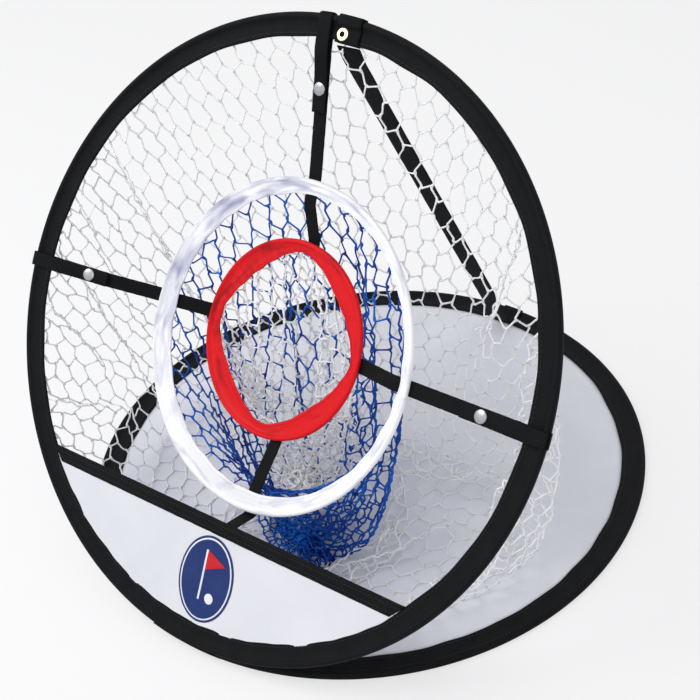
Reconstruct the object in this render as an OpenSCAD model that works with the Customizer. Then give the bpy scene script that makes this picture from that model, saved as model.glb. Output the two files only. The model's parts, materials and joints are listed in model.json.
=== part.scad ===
// Golf chipping net: two spring-wire hoops in fabric sleeves open like a clam shell.
// A fabric tape hinges them at the front and a webbing strap stops them at the back.
// The leaning front hoop carries a loose catching net and a target of two rings on webbing
// arms, each ring with a net pocket of its own. Snap flaps close the arms round the hoop.
// Millimetres. Origin: centre of the base hoop, on the floor. +Y is away from the golfer.

/* [Hoops] */
// Outside diameter of both hoops, over the sleeves
hoop_d = 610; // [500:5:760]
// Angle between the front hoop and the floor
lean = 53.6; // [45:0.2:65]
// Width of the front hoop's sleeve
front_band_w = 22; // [20:1:28]
// Width of the base hoop's sleeve
base_band_w = 25; // [20:1:32]
// Height of a hoop's bead, where the wire runs
bead_h = 7; // [6.6:0.1:8]
// Thickness of the flat part of a hoop's sleeve
web_t = 3.6; // [3.6:0.1:4.2]
// Diameter of the hoops' spring wire
wire_d = 4; // [3:0.1:4]

/* [Hinge] */
// Length of the hinge tape along the hinge
tape_l = 80; // [50:5:100]
// Height of the hinge line above the base hoop's bead
hinge_gap = 0.3; // [0.3:0.1:1]

/* [Fabric] */
// Thickness of the white fabric panels
panel_t = 0.6; // [0.4:0.1:0.6]
// Thickness of the floor panel
floor_t = 0.8; // [0.6:0.1:1]
// Height of the front panel, from the hinge line to the middle of its binding
panel_h = 120; // [100:5:150]
// Width of the binding along the front panel's top edge
binding_w = 15; // [12:1:20]
// Thickness of the webbing and the tape
strap_t = 1.2; // [0.8:0.1:1.4]

/* [Target] */
// Outside diameter of the white ring
white_d = 326; // [280:2:340]
// Outside diameter of the red ring
red_d = 198; // [160:2:210]
// Width of the rings' sleeves
ring_band_w = 20; // [16:1:24]
// Height of a ring's bead
ring_bead_h = 5; // [4.6:0.1:6]
// Thickness of the flat part of a ring's sleeve
ring_web_t = 2.6; // [2.4:0.1:3]
// Diameter of the rings' wire
ring_wire_d = 2.5; // [2:0.1:3]
// How far the white ring's centre hangs behind the front hoop
white_depth = 30; // [24:1:40]
// How far the red ring hangs behind the white ring
red_depth = 20; // [12:1:24]
// Turn of the rings out of the front hoop's plane, right side to the front
ring_turn = 5; // [0:0.5:8]
// How far the white ring sags below the line of its arms
white_sag = 7; // [0:0.5:12]
// How far the red ring sits to the left of the white ring's centre
red_left = 9; // [0:0.5:12]
// How far the red ring sits above the white ring's centre
red_up = 5; // [0:0.5:12]

/* [Straps] */
// Width of the target's webbing arms
arm_w = 14.5; // [12:0.5:18]
// Directions of the right, top, left and bottom arms
arm_dirs = [0.4, 92, 179.8, 276];
// Length of a snap flap from the hoop's outer edge
flap_l = 88; // [80:1:100]
// Distance of a snap from the hoop's outer edge
snap_in = 66; // [60:1:70]
// Width of the rear strap
strap_w = 26; // [22:1:32]
// Sideways place of the rear strap
strap_x = 16; // [14:1:24]

/* [Hardware] */
// Diameter of a snap's cap
cap_d = 12.5; // [11:0.5:14]
// Radius of the eyelet's bore
eyelet_r = 2.9; // [2.5:0.1:3]
// Outside diameter of the eyelet's flange
eyelet_d = 12; // [11.5:0.5:12.5]

/* [Nets] */
// Rings of cells round the middle cell of the catching net
catch_rings = 7; // [4:1:7]
// How far the middle of the catching net would drop below the hoop, with no floor under it
catch_drop = 270; // [200:10:320]
// How far the middle of the catching net hangs back from the hoop
catch_back = 150; // [100:10:180]
// Cells round the blue pocket
blue_cells = 16; // [10:1:18]
// Rows of cells down the blue pocket
blue_rows = 5; // [3:1:6]
// Cells round the white pocket
white_cells = 12; // [8:1:14]
// Rows of cells down the white pocket
white_rows = 4; // [3:1:5]
// Thickness of a net's cord
net_t = 1; // [0.8:0.1:1]
// Width of a net's cord
cord_w = 1.7; // [1.2:0.1:2.4]

/* [Hidden] */
$fn = 96;

// Clearances
wire_gap = 0.3;      // wire in its tunnel
layer_gap = 0.1;     // fabric layers that lie in one seam
seat_gap = 0.3;      // webbing round a sleeve
crimp_gap = 0.02;    // wire in its ferrule
hole_gap = 0.15;     // eyelet or rivet in its hole

// Hoops
hoop_r = hoop_d / 2;
wire_r = wire_d / 2;
bead_r = bead_h / 2;
wire_ring_r = hoop_r - bead_r;
front_in_r = hoop_r - front_band_w;
base_in_r = hoop_r - base_band_w;
ferrule_l = 40;
ferrule_wall = 0.6;
wire_end_gap = 2;
lip_t = 0.6;
seam_depth = 2.5;
heel_r = 1.5;        // rounding of the outer edge on the flat side

// Hinge
tape_t = 0.5;
tape_out = layer_gap + tape_t;
hinge_y = -(hoop_r + tape_out);
hinge_z = bead_h + hinge_gap;
front_v = hoop_r + tape_out;         // hoop centre above the hinge line, up the front plane

// Layers in the front sleeve's seam, above the sleeve's back face
catch_w = lip_t + layer_gap + net_t / 2;
binding_wall = 0.4;
front_panel_w = lip_t + net_t + binding_wall + 3 * layer_gap;
seam_top = front_panel_w + panel_t + layer_gap;

// Rings
white_r = white_d / 2;
red_r = red_d / 2;
ring_bead_r = ring_bead_h / 2;
white_w = hinge_gap + bead_r - white_depth;     // white ring's centre, out of the front plane
white_at = [-3, -white_sag];         // white ring's centre from the front hoop's
red_at = [-red_left, red_up];        // red ring's centre from the white ring's
white_in_r = white_r - ring_band_w;
red_in_r = red_r - ring_band_w;
ring_lip_t = (ring_web_t - net_t) / 2 - layer_gap;
ring_seam_depth = 3;
rim_gap = 0.5;       // a net's rim in its seam
ring_ferrule_l = 24;
ring_ferrule_wall = 0.4;

// Straps: distances s are measured outward from the hoop's or the ring's centre
wrap_s = hoop_r + seat_gap + strap_t / 2;
back_w = hinge_gap - seat_gap - strap_t / 2;
bead_top_w = hinge_gap + bead_h + seat_gap + strap_t / 2;
web_top_w = hinge_gap + web_t + seat_gap + strap_t / 2;
sleeve_out_s = front_in_r - 3;       // where an arm leaves the sleeve's back
arm_in = 7;          // how far an outer arm reaches in behind the white ring
arm_level = 2;       // how far outside the ring it turns to lie along the ring's back
arm_behind = ring_bead_r + seat_gap + strap_t / 2;
strap_dir = 90 - asin(strap_x / front_in_r);
snap_gap = 2.8;                      // room for the snap between flap and arm
snap_s = hoop_r - snap_in;
flap_tip_s = hoop_r - flap_l;
snap_slope = 15;                     // steepest run past a snap: folded, the snap clears the floor
knee_s = flap_tip_s - 3;             // where an arm may turn down to a ring that hangs deeper

// Snaps
stud_r = 5;
stud_h = 0.8;
nipple_r = 2;
nipple_h = 1.2;
socket_r = 5.2;
socket_h = snap_gap - stud_h - layer_gap;
socket_bore_r = nipple_r + seat_gap;
rivet_r = 1.5;
post_h = 0.8;
cap_h = 2;

// Eyelet
eyelet_wall = 0.7;
eyelet_flange_t = 0.8;
bead_foot = 3;                       // the bead's slope down to the web, inside the bead
eyelet_s = hoop_r - bead_h - bead_foot - eyelet_d / 2 - layer_gap;
eyelet_side = strap_w / 2 - eyelet_d / 2 - 1;
barrel_r = eyelet_r + eyelet_wall;

// Nets
catch_r = front_in_r + seam_depth - rim_gap;
catch_hem = 12;                      // width of the net's flat edge, from its rim
catch_spread = 0.5;                  // how much wider than the hoop the net's middle spreads
catch_lean = 0.37;                   // how much less the net drops and hangs back near the top
catch_floor_z = floor_t + 2 * seat_gap + net_t / 2;
pocket_hem = 6;
rim_w = ring_web_t / 2 - ring_bead_r;   // a pocket's rim, in its ring's seam
blue_gather = [20, -146, 16];
blue_tail_tip = [60, -163, 8];
white_gather = [18, -128, 70];
white_tail_tip = [30, -132, 56];
gather_r = 6;        // mouth of a gathered pocket
knot_r = 7;          // knot that closes the mouth from below
knot_drop = sqrt(knot_r * knot_r - gather_r * gather_r) + net_t / 2 + seat_gap;
tail_r = 3.5;

// Points along an arc
function arc_points(c, r, a0, a1, n) =
    [for (i = [0:n]) let (a = a0 + (a1 - a0) * i / n) c + r * [cos(a), sin(a)]];

// Closed outline of a polyline given a thickness, with mitred bends
function unit(v) = v / norm(v);
function side_of(a, b) = let (d = unit(b - a)) [-d.y, d.x];
function mitre(p, i) =
    i == 0 ? side_of(p[0], p[1]) :
    i == len(p) - 1 ? side_of(p[i - 1], p[i]) :
    let (n = side_of(p[i - 1], p[i]), m = unit(n + side_of(p[i], p[i + 1]))) m / (m * n);
function ribbon(p, t) = concat(
    [for (i = [0:len(p) - 1]) p[i] + mitre(p, i) * t / 2],
    [for (i = [len(p) - 1:-1:0]) p[i] - mitre(p, i) * t / 2]);

// From the front hoop's frame (x, up the plane, out of its front) to the model's
function to_row(p) = [
    p.x,
    hinge_y + p.y * cos(lean) - p.z * sin(lean),
    hinge_z + p.y * sin(lean) + p.z * cos(lean)
];
// From the rings' turned frame to the front hoop's
function ring_to_front(p) = [
    white_at.x + p.x * cos(ring_turn) - p.z * sin(ring_turn),
    front_v + white_at.y + p.y,
    white_w + p.x * sin(ring_turn) + p.z * cos(ring_turn)
];
// Distance from the arms' crossing to the edge of a ring centred at c, in direction a
function edge_s(c, r, a) = let (along = c.x * cos(a) + c.y * sin(a))
    along + sqrt(r * r - c * c + along * along);
function white_s(a) = edge_s(white_at, white_r, a);
function red_s(a) = edge_s(white_at + red_at, red_r, a);
// Depth of an outer arm behind the white ring, w in the front frame, at distance s in
// direction a. A level arm clears the turned ring's back over its whole width.
function ring_back_w(s, a) =
    white_w - arm_behind / cos(ring_turn) +
    (s * cos(a) - white_at.x - arm_w / 2 * abs(sin(a))) * tan(ring_turn);

module in_front() {
    translate([0, hinge_y, hinge_z])
        rotate([lean, 0, 0])
            children();
}

module at_front_centre() {
    in_front()
        translate([0, front_v, 0])
            children();
}

module in_rings() {
    at_front_centre()
        translate([white_at.x, white_at.y, white_w])
            rotate([0, -ring_turn, 0])
                children();
}

// ---- Sleeves, wires and ferrules ----

// Half section of a sleeve: bead at the outer edge, flat web inwards, flat back at zero
module sleeve_section(r, band, bead, web) {
    b = bead / 2;
    polygon(concat(
        arc_points([r - heel_r, heel_r], heel_r, -90, 0, 3),
        arc_points([r - b, b], b, 0, 90, 6),
        arc_points([r - b, b], b, 105, 150, 3),
        [[r - bead - 2, web + 0.1], [r - band, web], [r - band, 0]]));
}

module sleeve(r, band, bead, web, wire, ferrule_ang, ferrule_r, seam0, seam1, seam_in) {
    difference() {
        rotate_extrude()
            sleeve_section(r, band, bead, web);
        rotate_extrude()
            translate([r - bead / 2, bead / 2])
                circle(r = wire + wire_gap);
        ferrule_pocket(r - bead / 2, bead / 2, ferrule_ang, ferrule_r + wire_gap);
        rotate_extrude()
            translate([r - band - 1, seam0])
                square([seam_in + 1, seam1 - seam0]);
    }
}

module ferrule_pocket(ring_r, z, ang, r) {
    rotate([0, 0, -ang / 2 - 1])
        rotate_extrude(angle = ang + 2)
            translate([ring_r, z])
                circle(r = r);
}

// Open ring of spring wire: its ends meet inside the ferrule
module ring_wire(ring_r, z, r) {
    gap_ang = wire_end_gap / ring_r * 180 / PI;
    color("dimgray")
        rotate([0, 0, gap_ang / 2])
            rotate_extrude(angle = 360 - gap_ang)
                translate([ring_r, z])
                    circle(r = r);
}

module ring_ferrule(ring_r, z, r, wall, l) {
    ang = l / ring_r * 180 / PI;
    color("silver")
        rotate([0, 0, -ang / 2])
            rotate_extrude(angle = ang)
                translate([ring_r, z])
                    difference() {
                        circle(r = r + crimp_gap + wall);
                        circle(r = r + crimp_gap);
                    }
}

function ferrule_angle(l, ring_r) = l / ring_r * 180 / PI;

module base_hoop_wire() {
    ring_wire(wire_ring_r, bead_r, wire_r);
}

module base_wire_ferrule() {
    ring_ferrule(wire_ring_r, bead_r, wire_r, ferrule_wall, ferrule_l);
}

module base_hoop_sleeve() {
    color([0.1, 0.1, 0.11])
        sleeve(hoop_r, base_band_w, bead_h, web_t, wire_r,
            ferrule_angle(ferrule_l, wire_ring_r), wire_r + ferrule_wall,
            -1, floor_t + layer_gap, seam_depth + seat_gap);
}

module floor_panel() {
    color([0.95, 0.95, 0.97])
        cylinder(r = base_in_r + seam_depth, h = floor_t);
}

module front_hoop_wire() {
    at_front_centre()
        translate([0, 0, hinge_gap])
            ring_wire(wire_ring_r, bead_r, wire_r);
}

module front_wire_ferrule() {
    at_front_centre()
        translate([0, 0, hinge_gap])
            ring_ferrule(wire_ring_r, bead_r, wire_r, ferrule_wall, ferrule_l);
}

module front_hoop_sleeve() {
    color([0.1, 0.1, 0.11])
        at_front_centre()
            difference() {
                translate([0, 0, hinge_gap])
                    sleeve(hoop_r, front_band_w, bead_h, web_t, wire_r,
                        ferrule_angle(ferrule_l, wire_ring_r), wire_r + ferrule_wall,
                        lip_t, seam_top, seam_depth);
                at_eyelet()
                    cylinder(r = barrel_r + hole_gap, h = 4 * bead_h, center = true);
            }
}

// ---- Fabric panels ----

// The part of a disc that lies below the line at height v
module below_chord(r, v) {
    intersection() {
        circle(r = r);
        translate([-hoop_d, v - 2 * hoop_d])
            square([2 * hoop_d, 2 * hoop_d]);
    }
}

chord_v = panel_h - front_v;         // middle of the binding, from the hoop's centre

module front_panel() {
    color([0.93, 0.94, 0.96])
        at_front_centre()
            translate([0, 0, hinge_gap + front_panel_w])
                linear_extrude(panel_t)
                    below_chord(front_in_r + seam_depth - seat_gap, chord_v);
}

module panel_binding() {
    wall0 = front_panel_w - layer_gap - binding_wall;
    wall1 = seam_top + binding_wall;
    color([0.12, 0.12, 0.13])
        at_front_centre()
            difference() {
                translate([0, 0, hinge_gap + wall0])
                    linear_extrude(wall1 - wall0)
                        difference() {
                            below_chord(front_in_r - seat_gap, chord_v + binding_w / 2);
                            translate([-hoop_d, -2 * hoop_d + chord_v - binding_w / 2])
                                square([2 * hoop_d, 2 * hoop_d]);
                        }
                translate([-hoop_r, chord_v - binding_w, hinge_gap + front_panel_w - layer_gap])
                    cube([hoop_d, binding_w + layer_gap, panel_t + 2 * layer_gap]);
            }
}

// ---- Hinge tape: one strip round the outer edges, shown as its two leaves ----

module tape_leaf(z0, z1) {
    ang = ferrule_angle(tape_l, hoop_r);
    color([0.14, 0.14, 0.15])
        rotate([0, 0, -90 - ang / 2])
            rotate_extrude(angle = ang)
                translate([hoop_r + layer_gap, z0])
                    square([tape_t, z1 - z0]);
}

module hinge_tape_base() {
    tape_leaf(heel_r, hinge_z - hinge_gap);
}

module hinge_tape_front() {
    at_front_centre()
        tape_leaf(hinge_gap, hinge_gap + bead_h - heel_r);
}

// ---- Rear strap, its tab on the front hoop and its foot on the base hoop ----

// A profile in (distance out, height) made as wide as a strap, in direction a
module strap_along(a, profile, width) {
    rotate([0, 0, a])
        rotate([90, 0, 0])
            linear_extrude(width, center = true)
                polygon(profile);
}

tab_leg_s = front_in_r - 2;
tab_path = [
    [tab_leg_s, back_w],
    [wrap_s, back_w],
    [wrap_s, bead_top_w],
    [hoop_r - bead_h - 0.5, bead_top_w],
    [hoop_r - bead_h - bead_foot, web_top_w],
    [tab_leg_s, web_top_w]
];

module at_eyelet() {
    rotate([0, 0, strap_dir])
        translate([eyelet_s, eyelet_side, 0])
            children();
}

module strap_tab() {
    color([0.13, 0.13, 0.14])
        at_front_centre()
            difference() {
                strap_along(strap_dir, ribbon(tab_path, strap_t), strap_w);
                at_eyelet()
                    cylinder(r = barrel_r + hole_gap, h = 4 * bead_h, center = true);
            }
}

eyelet_top_w = web_top_w + strap_t / 2;
eyelet_low_w = back_w - strap_t / 2;

module eyelet() {
    color([0.86, 0.8, 0.6])
        at_front_centre()
            at_eyelet()
                translate([0, 0, eyelet_top_w])
                    rotate_extrude()
                        polygon([
                            [eyelet_r, eyelet_low_w - eyelet_top_w - eyelet_flange_t],
                            [barrel_r, eyelet_low_w - eyelet_top_w - eyelet_flange_t],
                            [barrel_r, 0],
                            [eyelet_d / 2, 0],
                            [eyelet_d / 2, eyelet_flange_t / 2],
                            [eyelet_d / 2 - 0.6, eyelet_flange_t],
                            [eyelet_r, eyelet_flange_t]
                        ]);
}

module eyelet_washer() {
    color([0.8, 0.75, 0.56])
        at_front_centre()
            at_eyelet()
                translate([0, 0, eyelet_low_w - eyelet_flange_t])
                    difference() {
                        cylinder(d = eyelet_d, h = eyelet_flange_t);
                        translate([0, 0, -1])
                            cylinder(r = barrel_r + crimp_gap, h = eyelet_flange_t + 2);
                    }
}

foot_top_z = bead_h + seat_gap + strap_t / 2;
foot_web_z = web_t + layer_gap + seat_gap + strap_t / 2;
foot_in_s = base_in_r + 1;
strap_end_gap = strap_w / 2 * cos(strap_dir) + seat_gap;   // the tab and foot lie askew to the strap

module strap_foot() {
    path = [
        [foot_in_s, foot_web_z],
        [hoop_r - bead_h - bead_foot, foot_web_z],
        [hoop_r - bead_h - 0.5, foot_top_z],
        [hoop_r - 1.5, foot_top_z]
    ];
    color([0.13, 0.13, 0.14])
        strap_along(strap_dir, ribbon(path, strap_t), strap_w);
}

module rear_strap() {
    top = to_row([0, front_v + tab_leg_s * sin(strap_dir) - strap_end_gap - strap_t / 2, back_w]);
    foot = [0, foot_in_s * sin(strap_dir) - strap_end_gap - strap_t / 2, foot_web_z];
    path = [
        [top.y, top.z],
        [top.y + (foot.y - top.y) * 0.02, top.z - (top.z - foot.z) * 0.03],
        [foot.y - (foot.y - top.y) * 0.02, foot.z + (top.z - foot.z) * 0.01],
        [foot.y, foot.z]
    ];
    color([0.1, 0.1, 0.11])
        translate([strap_x, 0, 0])
            strap_along(90, ribbon(path, strap_t), strap_w);
}

// ---- Target arms, snap flaps and snaps ----

function level_s(a) = white_s(a) + arm_level;
function end_s(a) = white_s(a) - arm_in;
function arm_slope(a) =
    min(snap_slope, atan2(back_w - ring_back_w(level_s(a), a), sleeve_out_s - level_s(a)));
function arm_line_w(s, a) = back_w - (sleeve_out_s - s) * tan(arm_slope(a));
function flap_line_w(s, a) = arm_line_w(s, a) + (snap_gap + strap_t) / cos(arm_slope(a));

// Frame of a snap: origin on the arm's middle layer, +Z out of the arm's front
module at_snap(a) {
    at_front_centre()
        rotate([0, 0, a])
            translate([snap_s, 0, arm_line_w(snap_s, a)])
                rotate([0, -arm_slope(a), 0])
                    children();
}

module rivet_hole(a) {
    at_snap(a)
        cylinder(r = rivet_r + hole_gap, h = 6 * strap_t + 2 * snap_gap, center = true);
}

// Outer arm: round the back of the hoop, out to the white ring's back
module outer_arm(a) {
    path = [
        [wrap_s, hinge_gap + bead_h - 1],
        [wrap_s, back_w],
        [sleeve_out_s, back_w],
        [knee_s, arm_line_w(knee_s, a)],
        [level_s(a), ring_back_w(level_s(a), a)],
        [end_s(a), ring_back_w(end_s(a), a)]
    ];
    color([0.1, 0.1, 0.11])
        difference() {
            at_front_centre()
                strap_along(a, ribbon(path, strap_t), arm_w);
            rivet_hole(a);
        }
}

module arm_bottom() {
    a = arm_dirs[3];
    end_w = hinge_gap + front_panel_w - layer_gap - binding_wall - seat_gap - strap_t / 2;
    path = [
        [-chord_v + binding_w / 2, end_w],
        [-chord_v - binding_w / 2 - 1, end_w],
        [level_s(a), ring_back_w(level_s(a), a)],
        [end_s(a), ring_back_w(end_s(a), a)]
    ];
    color([0.1, 0.1, 0.11])
        at_front_centre()
            strap_along(a, ribbon(path, strap_t), arm_w);
}

module flap(a) {
    path = [
        [hoop_r + seat_gap, bead_top_w],
        [hoop_r - bead_h - 0.5, bead_top_w],
        [catch_r - catch_hem - 1, web_top_w],
        [snap_s + cap_d / 2 + 5, flap_line_w(snap_s + cap_d / 2 + 5, a)],
        [flap_tip_s, flap_line_w(flap_tip_s, a)]
    ];
    color([0.12, 0.12, 0.13])
        difference() {
            at_front_centre()
                strap_along(a, ribbon(path, strap_t), arm_w);
            rivet_hole(a);
        }
}

module snap_stud(a) {
    color("silver")
        at_snap(a)
            translate([0, 0, strap_t / 2])
                difference() {
                    union() {
                        cylinder(r = stud_r, h = stud_h);
                        cylinder(r = nipple_r, h = stud_h + nipple_h - 0.4);
                        translate([0, 0, stud_h + nipple_h - 0.4])
                            cylinder(r1 = nipple_r, r2 = nipple_r - 0.4, h = 0.4);
                    }
                    translate([0, 0, -1])
                        cylinder(r = rivet_r + crimp_gap, h = 1 + stud_h + 0.6);
                }
}

module snap_post(a) {
    color("silver")
        at_snap(a) {
            translate([0, 0, -strap_t / 2 - post_h])
                cylinder(r = stud_r, h = post_h);
            translate([0, 0, -strap_t / 2 - post_h / 2])
                cylinder(r = rivet_r, h = post_h / 2 + strap_t + stud_h + 0.4);
        }
}

module snap_socket(a) {
    color("silver")
        at_snap(a)
            translate([0, 0, strap_t / 2 + snap_gap - socket_h])
                difference() {
                    cylinder(r = socket_r, h = socket_h);
                    translate([0, 0, -1])
                        cylinder(r = socket_bore_r, h = 1 + socket_h - 0.5);
                    cylinder(r = rivet_r + crimp_gap, h = socket_h + 1);
                }
}

module snap_cap(a) {
    color([0.78, 0.79, 0.8])
        at_snap(a)
            translate([0, 0, strap_t * 3 / 2 + snap_gap]) {
                rotate_extrude()
                    polygon(concat(
                        [[0, 0], [cap_d / 2, 0], [cap_d / 2, 0.5]],
                        [for (i = [1:5]) [cap_d / 2 * cos(i * 18), 0.5 + (cap_h - 0.5) * sin(i * 18)]]));
                translate([0, 0, -strap_t - 0.4])
                    cylinder(r = rivet_r, h = strap_t + 0.4 + cap_h / 2);
            }
}

// Inner arm: behind the white ring to the back of the red ring, in the rings' frame
module inner_arm(a) {
    path = [
        [end_s(a) - 2, -arm_behind],
        [white_s(a) - ring_band_w - 2, -arm_behind],
        [red_s(a) + 1, -arm_behind - red_depth],
        [red_s(a) - 12, -arm_behind - red_depth]
    ];
    color([0.1, 0.1, 0.11])
        in_rings()
            translate([-white_at.x, -white_at.y, 0])
                strap_along(a, ribbon(path, strap_t), arm_w);
}

// ---- Rings ----

module in_red() {
    in_rings()
        translate([red_at.x, red_at.y, -red_depth])
            children();
}

module ring_sleeve(r) {
    translate([0, 0, -ring_bead_r])
        sleeve(r, ring_band_w, ring_bead_h, ring_web_t, ring_wire_d / 2,
            ferrule_angle(ring_ferrule_l, r - ring_bead_r), ring_wire_d / 2 + ring_ferrule_wall,
            ring_lip_t, ring_lip_t + net_t + 2 * layer_gap, ring_seam_depth);
}

module white_ring_sleeve() {
    color("white")
        in_rings()
            ring_sleeve(white_r);
}

module red_ring_sleeve() {
    color([0.88, 0.1, 0.13])
        in_red()
            ring_sleeve(red_r);
}

module white_ring_wire() {
    in_rings()
        ring_wire(white_r - ring_bead_r, 0, ring_wire_d / 2);
}

module red_ring_wire() {
    in_red()
        ring_wire(red_r - ring_bead_r, 0, ring_wire_d / 2);
}

module white_ring_ferrule() {
    in_rings()
        ring_ferrule(white_r - ring_bead_r, 0, ring_wire_d / 2, ring_ferrule_wall, ring_ferrule_l);
}

module red_ring_ferrule() {
    in_red()
        ring_ferrule(red_r - ring_bead_r, 0, ring_wire_d / 2, ring_ferrule_wall, ring_ferrule_l);
}

// ---- Nets ----
// A net is one sheet pierced by six-sided holes. Its cells have corners 0 to 5 clockwise from
// the top and sides between them. Cord runs along every side and knots at every corner. The
// sheet's rim comes from outer cells that have no hole, whose corners lie on the seam line.

// Corner k of a cell, in column and row steps from the cell's middle
corner = [[0, -2 / 3], [1 / 2, -1 / 3], [1 / 2, 1 / 3], [0, 2 / 3], [-1 / 2, 1 / 3], [-1 / 2, -1 / 3]];

// Builds a net from: cells with holes, a cell's neighbour across side k, whether a cell has a
// hole, the corners' points (six a cell) and the sheet's thickness vector at each corner
module net_sheet(cells, beside, holed, points, normals) {
    count = len(points);
    function at(c, k) = c * 6 + (k + 12) % 6;
    function quad(a, b, c, d) = [[a, b, c], [a, c, d]];
    function both(f) = [f, [for (i = [len(f) - 1:-1:0]) f[i] + count]];
    function wall(a, b) = quad(a, b, b + count, a + count);
    strips = [
        for (c = cells, k = [0:5])
            let (n = beside(c, k))
                if (!holed(n) || c < n)
                    for (t = quad(at(c, k), at(n, k + 4), at(n, k + 3), at(c, k + 1)))
                        each both(t)
    ];
    knots = [
        for (c = cells, k = [0:5])
            let (n = beside(c, k), m = beside(c, (k + 5) % 6))
                if ((!holed(n) || c < n) && (!holed(m) || c < m))
                    each both([at(c, k), at(m, k + 2), at(n, k + 4)])
    ];
    holes = [for (c = cells, k = [0:5]) each wall(at(c, k), at(c, k + 1))];
    rim = [
        for (c = cells, k = [0:5])
            let (n = beside(c, k), m = beside(c, (k + 5) % 6))
                if (!holed(n))
                    each concat(
                        wall(at(n, k + 3), at(n, k + 4)),
                        holed(m) ? [] : wall(at(n, k + 4), at(m, k + 2)))
    ];
    polyhedron(
        points = concat(
            [for (i = [0:count - 1]) points[i] + normals[i] * net_t / 2],
            [for (i = [0:count - 1]) points[i] - normals[i] * net_t / 2]),
        faces = concat(strips, knots, holes, rim),
        convexity = 20);
}

// A hole's corner, drawn in from the cord's middle line towards the cell's middle
function drawn_in(p, middle) = p + (middle - p) * min(0.45, cord_w / 2 / cos(30) / norm(middle - p));

// Catching net: a six-sided patch of cells rounded to a disc. It hangs straight down from the
// top of the hoop, spreads over the floor, and comes back up to the hoop's sides and hinge.
side = catch_rings + 1;
row_len = 2 * side + 1;
steps = [[1, -1], [1, 0], [0, 1], [-1, 1], [-1, 0], [0, -1]];
function cell_q(c) = floor(c / row_len) - side;
function cell_r(c) = c % row_len - side;
function cell_ring(q, r) = max(abs(q), abs(r), abs(q + r));
function cell_at(q, r) = (q + side) * row_len + r + side;
function catch_beside(c, k) = cell_at(cell_q(c) + steps[k].x, cell_r(c) + steps[k].y);
function catch_holed(c) = cell_ring(cell_q(c), cell_r(c)) <= catch_rings;
row_step = sin(60);
function flat_point(q, r, d) = [q + r / 2 + d.x, (r + d.y) * row_step];
function six_norm(p) =
    max(abs(p.x * cos(30) + p.y * sin(30)), abs(p.y), abs(p.x * cos(30) - p.y * sin(30))) / cos(30);
catch_edge_r = catch_r - catch_hem;
catch_pitch = (catch_r - seam_depth) / (catch_rings + 0.55);
function disc_point(p) = norm(p) < 0.01 ? p : unit(p) * six_norm(p) * catch_pitch;
function held(p, r) = norm(p) > r ? unit(p) * r : p;
function on_catch(p) = let (
        out = min(1, norm(p) / catch_edge_r),
        g = 1 - out * out,
        top = 1 + catch_lean * p.y / catch_edge_r,
        b = in_hoop([p.x * (1 + catch_spread * g), p.y]))
    [b.x, b.y + g * catch_back * (top - 0.4 * out), max(b.z - g * catch_drop * top, catch_floor_z)];
function in_hoop(p) = to_row([p.x, front_v - p.y, hinge_gap + catch_w]);
function catch_normal(p) = let (e = 4)
    unit(cross(on_catch(p + [e, 0]) - on_catch(p - [e, 0]), on_catch(p - [0, e]) - on_catch(p + [0, e])));
front_normal = [0, -sin(lean), cos(lean)];
function catch_corner(c, k) = let (
        q = cell_q(c),
        r = cell_r(c),
        p = disc_point(flat_point(q, r, corner[k])),
        m = disc_point(flat_point(q, r, [0, 0])))
    catch_holed(c) ?
        drawn_in(on_catch(held(p, catch_edge_r)), norm(p) < catch_edge_r ? on_catch(m) : in_hoop(m)) :
        in_hoop(unit(p + (m - p) * 0.2) * catch_r);

module catch_net() {
    cells = [for (c = [0:row_len * row_len - 1]) if (catch_holed(c)) c];
    all = [for (c = [0:row_len * row_len - 1]) c];
    points = [for (c = all, k = [0:5]) catch_corner(c, k)];
    normals = [
        for (c = all)
            let (
                m = disc_point(flat_point(cell_q(c), cell_r(c), [0, 0])),
                n = catch_holed(c) ? catch_normal(held(m, catch_edge_r - 6)) : front_normal)
                for (k = [0:5]) n
    ];
    color([0.97, 0.97, 0.98])
        net_sheet(cells, function (c, k) catch_beside(c, k), function (c) catch_holed(c), points, normals);
}

// Pocket: rows of cells from a ring's seam down to a small gathered mouth
function ring_row(p) = to_row(ring_to_front(p));
function bezier(a, b, c, d, t) =
    a * pow(1 - t, 3) + b * 3 * t * pow(1 - t, 2) + c * 3 * t * t * (1 - t) + d * pow(t, 3);
function on_pocket(centre, r, gather, a, t, hem_t) = let (
        out = [sin(a), cos(a), 0],
        rim = ring_row(centre + out * r),
        start = ring_row(centre + out * (r - pocket_hem)),
        end = gather + gather_r * [sin(a), cos(a), 0],
        span = norm(start - end),
        low = [(start.x - end.x) * 0.5, (start.y - end.y) * 0.45, 0.06 * span],
        u = (t - hem_t) / (1 - hem_t))
    t <= hem_t ?
        rim + (start - rim) * t / hem_t :
        bezier(start, start + [0, 0.2, -0.26] * span, end + low, end, u);

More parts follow.
